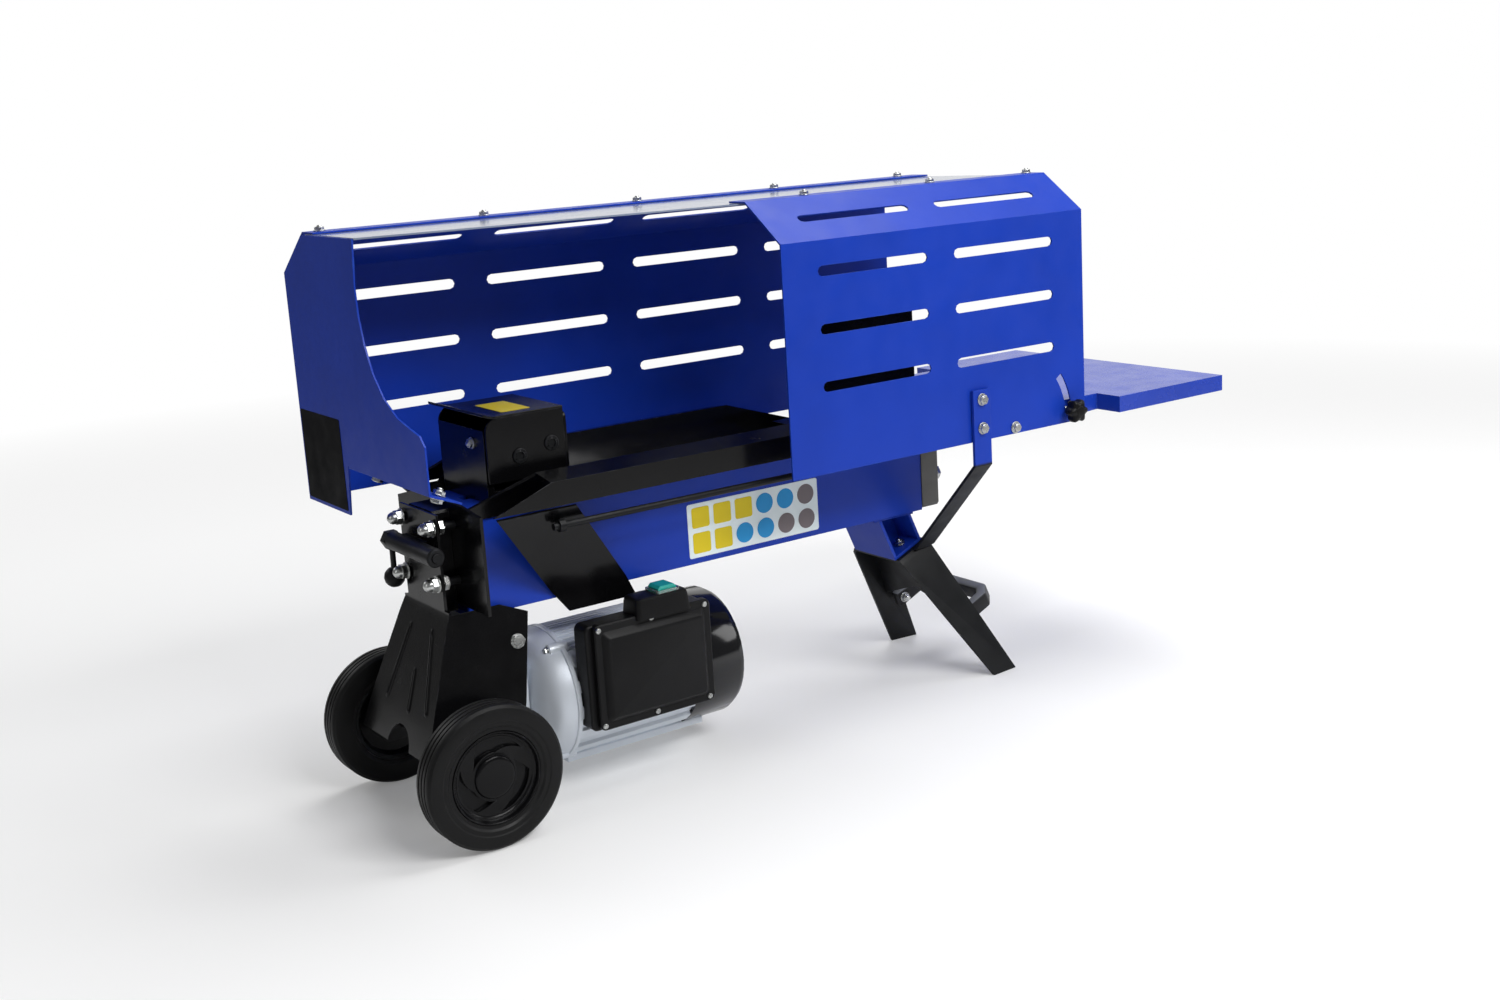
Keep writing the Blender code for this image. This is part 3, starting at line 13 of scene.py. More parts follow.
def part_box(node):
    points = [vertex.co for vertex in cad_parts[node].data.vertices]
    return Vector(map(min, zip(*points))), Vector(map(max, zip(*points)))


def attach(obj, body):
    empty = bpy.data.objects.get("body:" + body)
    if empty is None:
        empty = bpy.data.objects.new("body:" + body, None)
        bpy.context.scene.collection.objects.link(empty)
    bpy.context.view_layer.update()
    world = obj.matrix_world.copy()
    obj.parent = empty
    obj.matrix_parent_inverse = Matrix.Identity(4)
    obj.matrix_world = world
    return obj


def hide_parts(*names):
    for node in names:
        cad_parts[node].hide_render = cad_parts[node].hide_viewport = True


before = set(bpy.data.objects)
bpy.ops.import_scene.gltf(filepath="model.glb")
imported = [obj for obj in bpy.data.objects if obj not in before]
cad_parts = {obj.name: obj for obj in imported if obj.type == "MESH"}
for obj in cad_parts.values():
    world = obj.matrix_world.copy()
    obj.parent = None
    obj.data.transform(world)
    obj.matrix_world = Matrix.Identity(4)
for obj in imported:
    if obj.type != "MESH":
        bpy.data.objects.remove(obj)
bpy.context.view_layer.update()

MM = 0.001
AXLE_X = sum(corner.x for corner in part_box("axle")) / 2
X, Y, Z = Vector((1, 0, 0)), Vector((0, 1, 0)), Vector((0, 0, 1))
SHARP = 32  # degrees: an edge that turns by more than this stays crisp
WELD = 1e-7  # metres: corners this close become one

# Guard: nuts along its two lips and on the end panel's sloping flange, and the faces its side bolts clamp
LIP_NUT_Y = 87.0
LIP_NUT_XS = {"back": (-40, 157, 363, 569, 775), "front": (486, 681, 846)}
FLANGE_NUT_X, FLANGE_NUT_Z = -36, 394.5
FLANGE_NUT_YS = (-145, 2)
FLANGE_SLOPE = (16, 0, 34)
GUARD_OUTER_Y, GUARD_INNER_Y = 168.3, 166.0
TABLE_INNER_Y = 157.6

# Clamp knob
KNOB_R, KNOB_LOBE, KNOB_LOBES = 13.7, 2.1, 6

# Plain labels: each is its low and high place along both directions of its face
BEAM_LABEL = (317, 510, 237, 303)
END_STICKER = (50, 163, 350, 452)
PUSHER_LABEL = (92, 128, -42, 22)
FILM = 0.35
MARK_SIZE, MARK_PITCH, MARK_ROW_PITCH = 25.0, 31.2, 31
MARK_INSET_X, MARK_INSET_Z = 18.5, 17.5
MARK_ROWS = (
    ("yellow", "yellow", "yellow", "blue", "blue", "grey"),
    ("yellow", "yellow", "blue", "blue", "grey", "grey"),
)

# Pusher's hood
HOOD_INNER_Y, HOOD_T, HOOD_BOTTOM_Z = 56.3, 3, 374
HOOD_CORNER = 16
CHEEK_SCREWS = ((101.5, 400.6), (141.3, 408.9))

# Wheel bracket's leaning face, from its upper to its lower edge, and the bolt square to each cheek
FACE_TOP, FACE_BOTTOM = (-4.5, 0, 226), (-40, 0, 130)
CHEEK_BOLT, CHEEK_OUT = (75, 66.6, 197), (0, 0.977, 0.214)

# Wheels
WHEEL_HALF, WHEEL_R, TYRE_BORE_R = 17.5, 80.0, 52.0
GROOVES = (-7.0, 0.0, 7.0)
HUB_R, HUB_BORE_END = 8.6, 8.6
POCKETS, POCKET_IN_R, POCKET_OUT_R = 3, 27.0, 41.5

# Motor; each kind of fin is its pitch in degrees, the raised share of it and the depth between
SHELL_R, SHELL_BORE_R = 78.5, 62.5
FINE_FINS, COARSE_FINS = (5.0, 0.45, 6.0), (22.5, 0.5, 4.0)
BOSS_ANGLES, BOSS_PLACE_R, BOSS_START = (57, 123, 237, 303), 74.0, -17

# Switch box and the start button's hood
BOX_TOP_Z = 203.0
BUTTON_HOOD_X, BUTTON_HOOD_Y, BUTTON_WELL_Z = (210, 275), (-104, -74), 210
COVER_FACE_Y = -102.4

# Leg and handle: places down the leg and across it, from where its front meets the beam
LEAN = math.radians(23.5)
LEG_START_X = 611
LEG_BOLT_DOWN, LEG_BOLT_ACROSS, LEG_BOLT_Y = 63.9, 28, 23
HANDLE_DOWN, HANDLE_ACROSS, HANDLE_ARM_Y, HANDLE_SPACER_Y = 189, 51, 57.7, 72.3


# ---------------------------------------------------------------- places


def at(x, y, z):
    """A point in the frame's metres."""
    return Vector((AXLE_X + x * MM, y * MM, z * MM))


def span(node):
    """Lowest and highest corner of a node in millimetres."""
    low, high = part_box(node)
    shift = Vector((AXLE_X, 0, 0))
    return (low - shift) / MM, (high - shift) / MM


def middle(node):
    """The middle of a node's box in millimetres."""
    low, high = span(node)
    return (low + high) / 2


# ---------------------------------------------------------------- finishes


class Graph:
    """A material's node tree, built call by call."""

    def __init__(self, name):
        self.material = bpy.data.materials.new(name)
        self.material.use_nodes = True
        self.tree = self.material.node_tree
        self.shader = self.tree.nodes["Principled BSDF"]

    def set(self, socket, value):
        if hasattr(value, "is_linked"):
            self.tree.links.new(value, socket)
        elif value is not None:
            socket.default_value = value

    def node(self, kind, inputs=None, **settings):
        made = self.tree.nodes.new("ShaderNode" + kind)
        for key, value in settings.items():
            setattr(made, key, value)
        for key, value in (inputs or {}).items():
            self.set(made.inputs[key], value)
        return made

    def maths(self, operation, first, second=0.0):
        return self.node("Math", {0: first, 1: second}, operation=operation).outputs[0]

    def noise(self, scale, detail=4.0, vector=None):
        where = vector or self.node("TexCoord").outputs["Object"]
        inputs = {"Scale": scale, "Detail": detail, "Vector": where}
        return self.node("TexNoise", inputs).outputs["Fac"]

    def remap(self, value, low, high, out_low, out_high):
        inputs = {0: value, 1: low, 2: high, 3: out_low, 4: out_high}
        return self.node("MapRange", inputs).outputs[0]

    def mix(self, share, first, second):
        made = self.node("Mix", data_type="RGBA")
        self.set(made.inputs[0], share)
        self.set(made.inputs[6], first)
        self.set(made.inputs[7], second)
        return made.outputs[2]


def shade(colour, factor):
    return (*[min(1.0, part * factor) for part in colour], 1.0)


def finish(
    name,
    colour,
    roughness,
    metallic=0.0,
    vary=0.15,
    grain=900.0,
    bump=0.05,
    wear=None,
    wear_amount=0.5,
    coat=0.0,
    round_edge=0.5,
    stretch=None,
    dust_and_sheen=0.0,
    spec=0.25,
    upper=None,
):
    """Colour that drifts in soft patches, fine grain in bump and roughness, rounded and rubbed edges."""
    graph = Graph(name)
    where = graph.node("TexCoord").outputs["Object"]
    if stretch:
        where = graph.node("Mapping", {"Vector": where, "Scale": stretch}).outputs[0]
    patches = graph.noise(9.0, 5.0, where)
    fine = graph.noise(grain, 3.0, where)
    base = graph.mix(graph.remap(patches, 0.3, 0.7, 0, 1), shade(colour, 1 - vary), shade(colour, 1 + vary))
    base = graph.mix(graph.remap(fine, 0.35, 0.65, 0, vary * 0.4), base, shade(colour, 1.6))
    if upper:
        above_colour, border = upper
        height = graph.node("SeparateXYZ", {0: where}).outputs[2]
        above = graph.remap(height, (border - 1.5) * MM, (border + 1.5) * MM, 0, 1)
        base = graph.mix(above, base, (*above_colour, 1.0))
    # Upward faces turn pale grey-blue: a faint real dust on the tyre, and on the grip a painted reflection of
    # the sky on its top.
    if dust_and_sheen:
        up = graph.node("SeparateXYZ", {0: graph.node("NewGeometry").outputs["Normal"]}).outputs[2]
        upward = graph.remap(up, 0.2, 1.0, 0, dust_and_sheen)
        dust_and_sheen_share = graph.maths("MULTIPLY", upward, graph.remap(patches, 0.35, 0.7, 0.3, 1))
        base = graph.mix(dust_and_sheen_share, base, (0.5, 0.52, 0.56, 1))
    rough = graph.remap(graph.noise(35.0, 6.0, where), 0.3, 0.7, roughness * 0.8, roughness * 1.25)
    rounded = graph.node("Bevel", {"Radius": round_edge * MM}, samples=3).outputs[0]
    if wear:
        flat = graph.node("NewGeometry").outputs["Normal"]
        wide = graph.node("Bevel", {"Radius": 1.3 * MM}, samples=3).outputs[0]
        same = graph.node("VectorMath", {0: wide, 1: flat}, operation="DOT_PRODUCT").outputs["Value"]
        edge = graph.remap(same, 0.995, 0.9, 0, 1)
        broken = graph.remap(graph.noise(60.0, 6.0, where), 0.5, 0.68, 0, 1)
        worn = graph.maths("MULTIPLY", graph.maths("MULTIPLY", edge, broken), wear_amount)
        base = graph.mix(worn, base, (*wear, 1.0))
        rough = graph.maths("ADD", rough, graph.maths("MULTIPLY", worn, 0.15))
    relief = graph.node("Bump", {"Height": fine, "Strength": bump, "Distance": 0.4 * MM, "Normal": rounded})
    graph.set(graph.shader.inputs["Base Color"], base)
    graph.set(graph.shader.inputs["Roughness"], rough)
    graph.set(graph.shader.inputs["Metallic"], metallic)
    graph.set(graph.shader.inputs["Normal"], relief.outputs[0])
    graph.set(graph.shader.inputs["Specular IOR Level"], spec)
    graph.set(graph.shader.inputs["Coat Weight"], coat)
    graph.set(graph.shader.inputs["Coat Roughness"], 0.12)
    return graph.material


BARE = (0.30, 0.30, 0.31)
BLUE = (0.008, 0.042, 0.40)
FINISHES = {
    "blue": finish("blue_powder_coat", BLUE, 0.36, vary=0.08, grain=700, bump=0.10, wear=(0.05, 0.16, 0.62),
                   wear_amount=0.8, coat=0.05, spec=0.18),
    "table": finish("table_powder_coat", BLUE, 0.26, vary=0.08, grain=700, bump=0.08, wear=(0.05, 0.16, 0.62),
                    wear_amount=0.8, coat=0.25, spec=0.6),
    # Straps: blue above 309 mm and dark grey below it.
    "strap": finish("strap_blue_above_dark_below", (0.012, 0.013, 0.016), 0.45, vary=0.2, grain=500, bump=0.2,
                    wear=(0.12, 0.13, 0.16), upper=(BLUE, 309), spec=0.2),
    "black": finish("black_gloss_paint", (0.0025, 0.0025, 0.003), 0.22, vary=0.25, grain=800, bump=0.12,
                    wear=(0.07, 0.07, 0.08), wear_amount=0.6, coat=0.10, spec=0.2),
    "satin": finish("black_satin_paint", (0.006, 0.0065, 0.0075), 0.42, vary=0.25, grain=500, bump=0.25,
                    wear=(0.10, 0.10, 0.11), wear_amount=0.6, spec=0.2),
    "plastic": finish("moulded_plastic", (0.005, 0.005, 0.0055), 0.40, vary=0.2, grain=1500, bump=0.22,
                      wear=(0.03, 0.03, 0.035), wear_amount=0.7, round_edge=1.2, spec=0.18),
    "gloss_plastic": finish("glossy_plastic", (0.004, 0.004, 0.005), 0.10, vary=0.2, grain=1200, bump=0.02,
                            wear=(0.04, 0.04, 0.045), wear_amount=0.5, coat=0.30, spec=0.3),
    "rubber": finish("tyre_rubber", (0.005, 0.005, 0.0053), 0.42, vary=0.3, grain=1100, bump=0.3,
                     wear=(0.035, 0.035, 0.035), wear_amount=0.7, dust_and_sheen=0.01, spec=0.2),
    "rim": finish("rim_plastic", (0.0035, 0.0035, 0.004), 0.22, vary=0.2, grain=1300, bump=0.1,
                  wear=(0.04, 0.04, 0.045), wear_amount=0.7, round_edge=0.8, spec=0.18),
    "zinc": finish("zinc_plate", (0.55, 0.56, 0.55), 0.28, metallic=1.0, vary=0.15, grain=1600, bump=0.12,
                   wear=(0.8, 0.8, 0.78), round_edge=0.35, spec=0.5),
    "steel": finish("ground_steel", (0.50, 0.51, 0.52), 0.24, metallic=1.0, vary=0.1, grain=1400, bump=0.1,
                    wear=(0.8, 0.8, 0.8), stretch=(0.15, 1, 1), spec=0.5),
    "aluminium": finish("cast_aluminium", (0.72, 0.77, 0.84), 0.40, metallic=0.3, vary=0.08, grain=900,
                        bump=0.25, wear=(0.85, 0.87, 0.9), round_edge=0.8, spec=0.5),
    "cast": finish("cast_steel", (0.12, 0.118, 0.112), 0.5, metallic=0.6, vary=0.25, grain=400, bump=0.5,
                   wear=(0.35, 0.34, 0.32), round_edge=0.8, spec=0.4),
    "copper": finish("copper_winding", (0.62, 0.27, 0.11), 0.35, metallic=1.0, vary=0.2, grain=250, bump=0.6,
                     stretch=(0.2, 1, 1), spec=0.5),
    "seal": finish("seal_rubber", (0.01, 0.01, 0.01), 0.55, vary=0.2, grain=900, bump=0.15),
    # The guard's top strip: its pale grey-blue is the strip's own glossy paint lightened by a painted
    # reflection of the sky on its upward face.
    "strip": finish("pale_coated_strip", (0.22, 0.26, 0.36), 0.14, vary=0.1, grain=700, bump=0.06, wear=BARE,
                    coat=0.5, spec=0.5),
    "label": finish("label_film", (0.86, 0.96, 1.0), 0.32, vary=0.03, grain=500, bump=0.03,
                    wear=(0.6, 0.6, 0.6)),
    "label_yellow": finish("yellow_film", (0.80, 0.62, 0.015), 0.35, vary=0.06, grain=500, bump=0.03,
                           wear=(0.6, 0.55, 0.3)),
    "label_blue": finish("blue_film", (0.02, 0.32, 0.72), 0.35, vary=0.06, grain=500, bump=0.03),
    "label_grey": finish("grey_film", (0.20, 0.17, 0.18), 0.35, vary=0.06, grain=500, bump=0.03),
    "label_black": finish("black_film", (0.002, 0.002, 0.003), 0.5, vary=0.2, grain=500, bump=0.04,
                          wear=(0.03, 0.03, 0.03), spec=0.05),
    # The grip's pale top is a painted reflection of the sky on its upward faces.
    "grip": finish("grip_plastic", (0.012, 0.012, 0.014), 0.45, vary=0.25, grain=600, bump=0.35,
                   wear=(0.2, 0.2, 0.22), wear_amount=0.6, round_edge=1.5, dust_and_sheen=0.7),
}


def clear_finish(name, colour, transmission, roughness):
    """A moulded clear or tinted plastic with faint flow marks."""
    graph = Graph(name)
    marks = graph.noise(400.0, 3.0)
    relief = graph.node("Bump", {"Height": marks, "Strength": 0.08, "Distance": 0.3 * MM})
    tint = graph.mix(graph.remap(marks, 0.3, 0.7, 0, 1), shade(colour, 0.85), shade(colour, 1.1))
    graph.set(graph.shader.inputs["Base Color"], tint)
    graph.set(graph.shader.inputs["Transmission Weight"], transmission)
    rough = graph.remap(marks, 0.3, 0.7, roughness * 0.8, roughness * 1.3)
    graph.set(graph.shader.inputs["Roughness"], rough)
    graph.set(graph.shader.inputs["Normal"], relief.outputs[0])
    return graph.material


FINISHES["teal"] = clear_finish("teal_button", (0.02, 0.50, 0.42), 0.25, 0.12)
FINISHES["clear"] = clear_finish("clear_cap", (0.85, 0.95, 0.93), 0.9, 0.06)

NODE_FINISHES = {
    "blue": "beam guard_back guard_end guard_front leg",
    "table": "table",
    "strap": "strap_near strap_far",
    "black": "front_plate front_cap brace_near brace_far tray_near tray_far pusher_block wheel_bracket wedge",
    "satin": "foot side_rod valve_body valve_spool control_lever tie_rod_1 tie_rod_2 tie_rod_3 tie_rod_4",
    "plastic": "fan lever_knob",
    "gloss_plastic": "fan_cover",
    "zinc": "rod_nut",
    "steel": "axle cylinder_tube piston piston_rod rotor drive_gear driven_gear",
    "aluminium": "motor_front_shield motor_rear_shield pump_body pump_cover",
    "cast": "end_plate gland",
    "copper": "stator",
    "seal": "piston_seal",
    "strip": "guard_top",
    "grip": "tow_handle",
    "teal": "start_button",
}


def soft_shading():
    """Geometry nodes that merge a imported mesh's split corners and shade it smooth except at real edges."""
    group = bpy.data.node_groups.new("Soft_shading", "GeometryNodeTree")
    group.interface.new_socket("Geometry", in_out="INPUT", socket_type="NodeSocketGeometry")
    group.interface.new_socket("Geometry", in_out="OUTPUT", socket_type="NodeSocketGeometry")
    add, link = group.nodes.new, group.links.new
    start, end = add("NodeGroupInput"), add("NodeGroupOutput")
    merge = add("GeometryNodeMergeByDistance")
    merge.inputs["Distance"].default_value = 0.01 * MM
    drop = add("GeometryNodeRemoveAttribute")
    drop.inputs["Name"].default_value = "custom_normal"
    faces, all_edges, sharp_edges = (add("GeometryNodeSetShadeSmooth") for _ in range(3))
    all_edges.domain = sharp_edges.domain = "EDGE"
    sharp_edges.inputs["Shade Smooth"].default_value = False
    angle = add("GeometryNodeInputMeshEdgeAngle")
    over = add("FunctionNodeCompare")
    over.operation = "GREATER_THAN"
    over.inputs[1].default_value = math.radians(SHARP)
    link(angle.outputs[0], over.inputs[0])
    link(over.outputs[0], sharp_edges.inputs["Selection"])
    chain = [start, merge, drop, faces, all_edges, sharp_edges, end]
    for first, second in zip(chain, chain[1:]):
        link(first.outputs[0], second.inputs[0])
    return group


def dress_nodes():
    """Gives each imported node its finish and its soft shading."""
    group = soft_shading()
    for key, names in NODE_FINISHES.items():
        for name in names.split():
            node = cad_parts[name]
            for slot in node.material_slots:
                slot.material = FINISHES[key]
            node.modifiers.new("Soft shading", "NODES").node_group = group


# ---------------------------------------------------------------- making pieces


def mesh_of(name, shape):
    """A mesh from machine millimetres, with its doubled corners welded and its faces turned outwards."""
    points, faces = shape
    mesh = bpy.data.meshes.new(name)
    mesh.from_pydata([at(*p) for p in points], [], faces)
    work = bmesh.new()
    work.from_mesh(mesh)
    bmesh.ops.remove_doubles(work, verts=work.verts, dist=WELD)
    bmesh.ops.recalc_face_normals(work, faces=work.faces)
    work.to_mesh(mesh)
    work.free()
    return mesh


def piece(name, shape, key, body, bevel=0.0, smooth=SHARP, replaces=()):
    """A mesh that rides on a body."""
    mesh = mesh_of(name, shape)
    mesh.materials.append(FINISHES[key])
    mesh.shade_smooth()
    mesh.set_sharp_from_angle(angle=math.radians(smooth))
    made = bpy.data.objects.new(name, mesh)
    bpy.context.scene.collection.objects.link(made)
    if bevel:
        rounding = made.modifiers.new("Rounding", "BEVEL")
        rounding.width = bevel * MM
        rounding.segments = 3
        rounding.limit_method = "ANGLE"
        rounding.angle_limit = math.radians(40)
        rounding.harden_normals = True
    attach(made, body)
    if replaces:
        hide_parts(*replaces)
    return made


def join(*shapes):
    """Several shapes as one list of points and one of faces."""
    points, faces = [], []
    for more_points, more_faces in shapes:
        start = len(points)
        points += [tuple(p) for p in more_points]
        faces += [tuple(start + i for i in face) for face in more_faces]
    return points, faces


def loft(rings, closed=False):
    """Faces between loops of equal length; an open stack gets flat ends."""
    count = len(rings[0])
    points = [tuple(p) for ring in rings for p in ring]
    pairs = [(i, i + 1) for i in range(len(rings) - 1)]
    if closed:
        pairs.append((len(rings) - 1, 0))
    faces = []
    for a, b in pairs:
        for i in range(count):
            j = (i + 1) % count
            faces.append((a * count + i, a * count + j, b * count + j, b * count + i))
    if not closed:
        faces.append(tuple(range(count)))
        faces.append(tuple((len(rings) - 1) * count + i for i in range(count)))
    return points, faces


def prism(outline, axis, low, high):
    """An outline drawn square to an axis and pushed along it from low to high."""

    def place(u, v, w):
        return {"X": (w, u, v), "Y": (u, w, v), "Z": (u, v, w)}[axis]

    return loft([[place(u, v, w) for u, v in outline] for w in (low, high)])


def basis(direction):
    """The direction at unit length, and two more square to it and to each other."""
    along = Vector(direction).normalized()
    side = along.cross(Z if abs(along.z) < 0.9 else X).normalized()
    return along, side, along.cross(side)


def turned(profile, centre, direction, count=32, sides=0, closed=False):
    """A profile of (distance, radius) turned round a direction; with sides, a polygon with flats there."""
    along, side, up = basis(direction)
    rings = []
    for distance, radius in profile:
        ring = []
        for i in range(count):
            a = 2 * math.pi * i / count
            reach = radius
            if sides:
                wedge = 2 * math.pi / sides
                reach = radius / math.cos((a % wedge) - wedge / 2)
            ring.append(Vector(centre) + along * distance + (side * math.cos(a) + up * math.sin(a)) * reach)
        rings.append(ring)
    return loft(rings, closed)


def nut_shape(centre, direction, flat, height, start=0.0):
    """A hexagon with chamfered corners: the hexagon's rings end in a round, slightly smaller top."""
    chamfer = height * 0.14
    end = start + height
    body = turned([(start, flat), (end - chamfer, flat)], centre, direction, 36, 6)
    top = turned([(end - chamfer * 1.6, flat * 1.06), (end, flat * 0.92)], centre, direction, 36)
    return join(body, top)


def washer_shape(centre, direction, radius, thickness):
    """A round washer with its edges broken by 0.3 mm."""
    profile = [(0, radius - 0.3), (0.3, radius), (thickness - 0.3, radius), (thickness, radius - 0.3)]
    return turned(profile, centre, direction, 32)


def shank_shape(centre, direction, radius, low, high):
    """A threaded shank's end: ridged, with a chamfered tip."""
    profile = []
    distance = low
    while distance < high - 1.2:
        profile += [(distance, radius), (distance + 0.5, radius - 0.45)]
        distance += 1.0
    return turned(profile + [(high - 0.8, radius), (high, radius - 0.9)], centre, direction, 20)


def bolt(name, centre, direction, body, flat, height, washer, tail=0.0):
    """Washer and hexagon head on a surface; with a tail it is a nut with the bolt's end showing."""
    shapes = [washer_shape(centre, direction, washer, 1.4), nut_shape(centre, direction, flat, height, 1.4)]
    if tail:
        shapes.append(shank_shape(centre, direction, flat * 0.6, height * 0.5, height + 1.4 + tail))
    else:
        recess = [(height + 1.2, flat * 0.62), (height + 1.6, flat * 0.6), (height + 1.6, flat * 0.45)]
        shapes.append(turned(recess, centre, direction, 24))
    return piece(name, join(*shapes), "zinc", body)


def through_bolt(name, centre, direction, body, outside, inside, flat=5.6, replaces=()):
    """Head and washer outside, shank, washer and nut inside, as one piece."""
    away = Vector(direction).normalized()
    out, into = Vector(centre) + away * outside, Vector(centre) + away * inside
    shapes = [
        washer_shape(out, away, 7.6, 1.3),
        nut_shape(out, away, flat, 4.4, 1.3),
        turned([(5.6, 3.9), (6.1, 3.7), (6.1, 2.6)], out, away, 24),
        turned([(inside, 3.9), (outside, 3.9)], centre, away, 20),
        washer_shape(into, -away, 7.6, 1.2),
        nut_shape(into, -away, flat, 5.0, 1.2),
        shank_shape(into, -away, 3.9, 5.8, 9.0),
    ]
    return piece(name, join(*shapes), "zinc", body, replaces=replaces)


def socket_screw(name, centre, direction, body, radius, key):
    """A round head with a hexagonal socket sunk into it."""
    along = Vector(direction).normalized()
    profile = [(-1.0, radius), (1.6, radius), (2.2, radius - 0.6), (2.2, radius * 0.56)]
    points, faces = turned(profile, centre, along, 36)
    head = (points, faces[:-1])
    points, faces = turned([(2.2, radius * 0.56), (0.2, radius * 0.5), (0.0, 0.4)], centre, along, 36, 6)
    well = (points, faces[:-2] + faces[-1:])
    return piece(name, join(head, well), key, body)


def pan_screw(name, centre, direction, body):
    """A small domed screw head with a cross slot."""
    radius = 3.4
    along, side, up = basis(direction)
    profile = [(-0.5, radius), (0.6, radius), (1.5, radius * 0.85), (2.1, radius * 0.5), (2.2, 0.4)]
    made = piece(name, turned(profile, centre, direction, 24), "zinc", body)
    arms = []
    for first, second in ((side, up), (up, side)):
        ring = []
        for u, v in ((-1, -1), (1, -1), (1, 1), (-1, 1)):
            ring.append(Vector(centre) + first * radius * 0.62 * u + second * radius * 0.13 * v)
        arms.append(loft([[p + along * 1.3 for p in ring], [p + along * 3.2 for p in ring]]))
    return cut(made, arms)


def cut(made, shapes):
    """Takes shapes away from a piece, and leaves no cutter behind."""
    for number, shape in enumerate(shapes):
        cutter = bpy.data.objects.new(f"cutter_{made.name}_{number}", mesh_of("cutter", shape))
        bpy.context.scene.collection.objects.link(cutter)
        modifier = made.modifiers.new("Cut", "BOOLEAN")
        modifier.object = cutter
        modifier.solver = "EXACT"
        bpy.context.view_layer.update()
        graph = bpy.context.evaluated_depsgraph_get()
        result = bpy.data.meshes.new_from_object(made.evaluated_get(graph))
        made.modifiers.remove(modifier)
        made.data = result
        bpy.data.objects.remove(cutter)
    made.data.shade_smooth()
    made.data.set_sharp_from_angle(angle=math.radians(SHARP))
    return made


def rounded_rectangle(u0, u1, v0, v1, radius, steps=6):
    """An outline with a quarter circle of so many steps at each corner."""
    outline = []
    corners = ((u1 - radius, v0 + radius, -90), (u1 - radius, v1 - radius, 0))
    corners += ((u0 + radius, v1 - radius, 90), (u0 + radius, v0 + radius, 180))
    for u, v, start in corners:
        for i in range(steps + 1):
            a = math.radians(start + 90 * i / steps)
            outline.append((u + radius * math.cos(a), v + radius * math.sin(a)))
    return outline


def plate_on_y(levels):
    """Rounded rectangles in X and Z stacked along Y: each level is (y, x0, x1, z0, z1, corner radius)."""
    rings = []
    for y, x0, x1, z0, z1, radius in levels:
        rings.append([(u, y, v) for u, v in rounded_rectangle(x0, x1, z0, z1, radius)])
    return loft(rings)


# ---------------------------------------------------------------- guard and table


def guard_fittings():
    """Nuts along both lips of the top, and on the end panel's turned-in flange."""
    top = span("guard_back")[1].z
    for row, y in (("back", LIP_NUT_Y), ("front", -LIP_NUT_Y)):
        for number, x in enumerate(LIP_NUT_XS[row], 1):
            bolt(f"top_nut_{row}_{number}", (x, y, top), Z, "frame", 4.6, 3.6, 6.4, tail=1.6)
    slope = Vector(FLANGE_SLOPE).normalized()
    for number, y in enumerate(FLANGE_NUT_YS, 1):
        upper = Vector((FLANGE_NUT_X, y, FLANGE_NUT_Z))
        bolt(f"flange_nut_{number}", upper, slope, "frame", 5.4, 4.2, 7.6, tail=2.5)
        bolt(f"flange_head_{number}", upper - slope * 3.0, -slope, "frame", 5.4, 3.8, 7.6)


def side_bolts():
    """Bolts that hold the straps to the guard, and those the table turns on."""
    outside = 0.1 - span("strap_near")[0].y
    for number in (1, 2):
        node = f"strap_bolt_{number}"
        spot = middle(node)
        centre = (spot.x, 0, spot.z)
        through_bolt(f"strap_bolt_near_{number}", centre, -Y, "frame", outside, GUARD_INNER_Y,
                     replaces=[node])
        through_bolt(f"strap_bolt_far_{number}", centre, Y, "frame", outside, GUARD_INNER_Y)
    for side, name in ((-1, "near"), (1, "far")):
        node = f"pivot_bolt_{name}"
        spot = middle(node)
        centre = (spot.x, 0, spot.z)
        through_bolt(f"hinge_bolt_{name}", centre, Y * side, "frame", GUARD_OUTER_Y, TABLE_INNER_Y, flat=5.0,
                     replaces=[node])


def knob_grip():
    """Six-lobed clamping knob with a rounded crown, a collar and its stud."""
    low, high = span("knob")
    x, z = (low.x + high.x) / 2, (low.z + high.z) / 2
    outer = low.y
    crown = ((0, 0.55), (0.5, 0.74), (1.8, 0.9), (4, 0.985), (8, 1.0), (13, 0.97), (15.5, 0.86), (16, 0.7))
    rings = []
    for distance, share in crown:
        ring = []
        for i in range(72):
            a = 2 * math.pi * i / 72
            r = (KNOB_R + KNOB_LOBE * math.cos(KNOB_LOBES * a)) * share
            ring.append((x + r * math.cos(a), outer + distance, z + r * math.sin(a)))
        rings.append(ring)
    dish = turned([(0, 6.5), (-0.6, 6.0), (-0.8, 4.5)], (x, outer, z), Y, 32)
    collar = turned([(15, 8.4), (19.4, 8.0)], (x, outer, z), Y, 32)
    stud = shank_shape((x, outer, z), Y, 3.9, 18, high.y - low.y)
    piece("knob_grip", join(loft(rings), dish, collar), "plastic", "clamp_knob", replaces=["knob"])
    piece("knob_stud", stud, "zinc", "clamp_knob")


# ---------------------------------------------------------------- labels, all without text


def mark_outline(colour, x, z):
    """A plain square for yellow, a plain disc for the other colours."""
    half = MARK_SIZE / 2
    if colour == "yellow":
        return rounded_rectangle(x - half, x + half, z - half, z + half, 3, 3)
    outline = []
    for i in range(36):
        a = 2 * math.pi * i / 36
        outline.append((x + half * math.cos(a), z + half * math.sin(a)))
    return outline


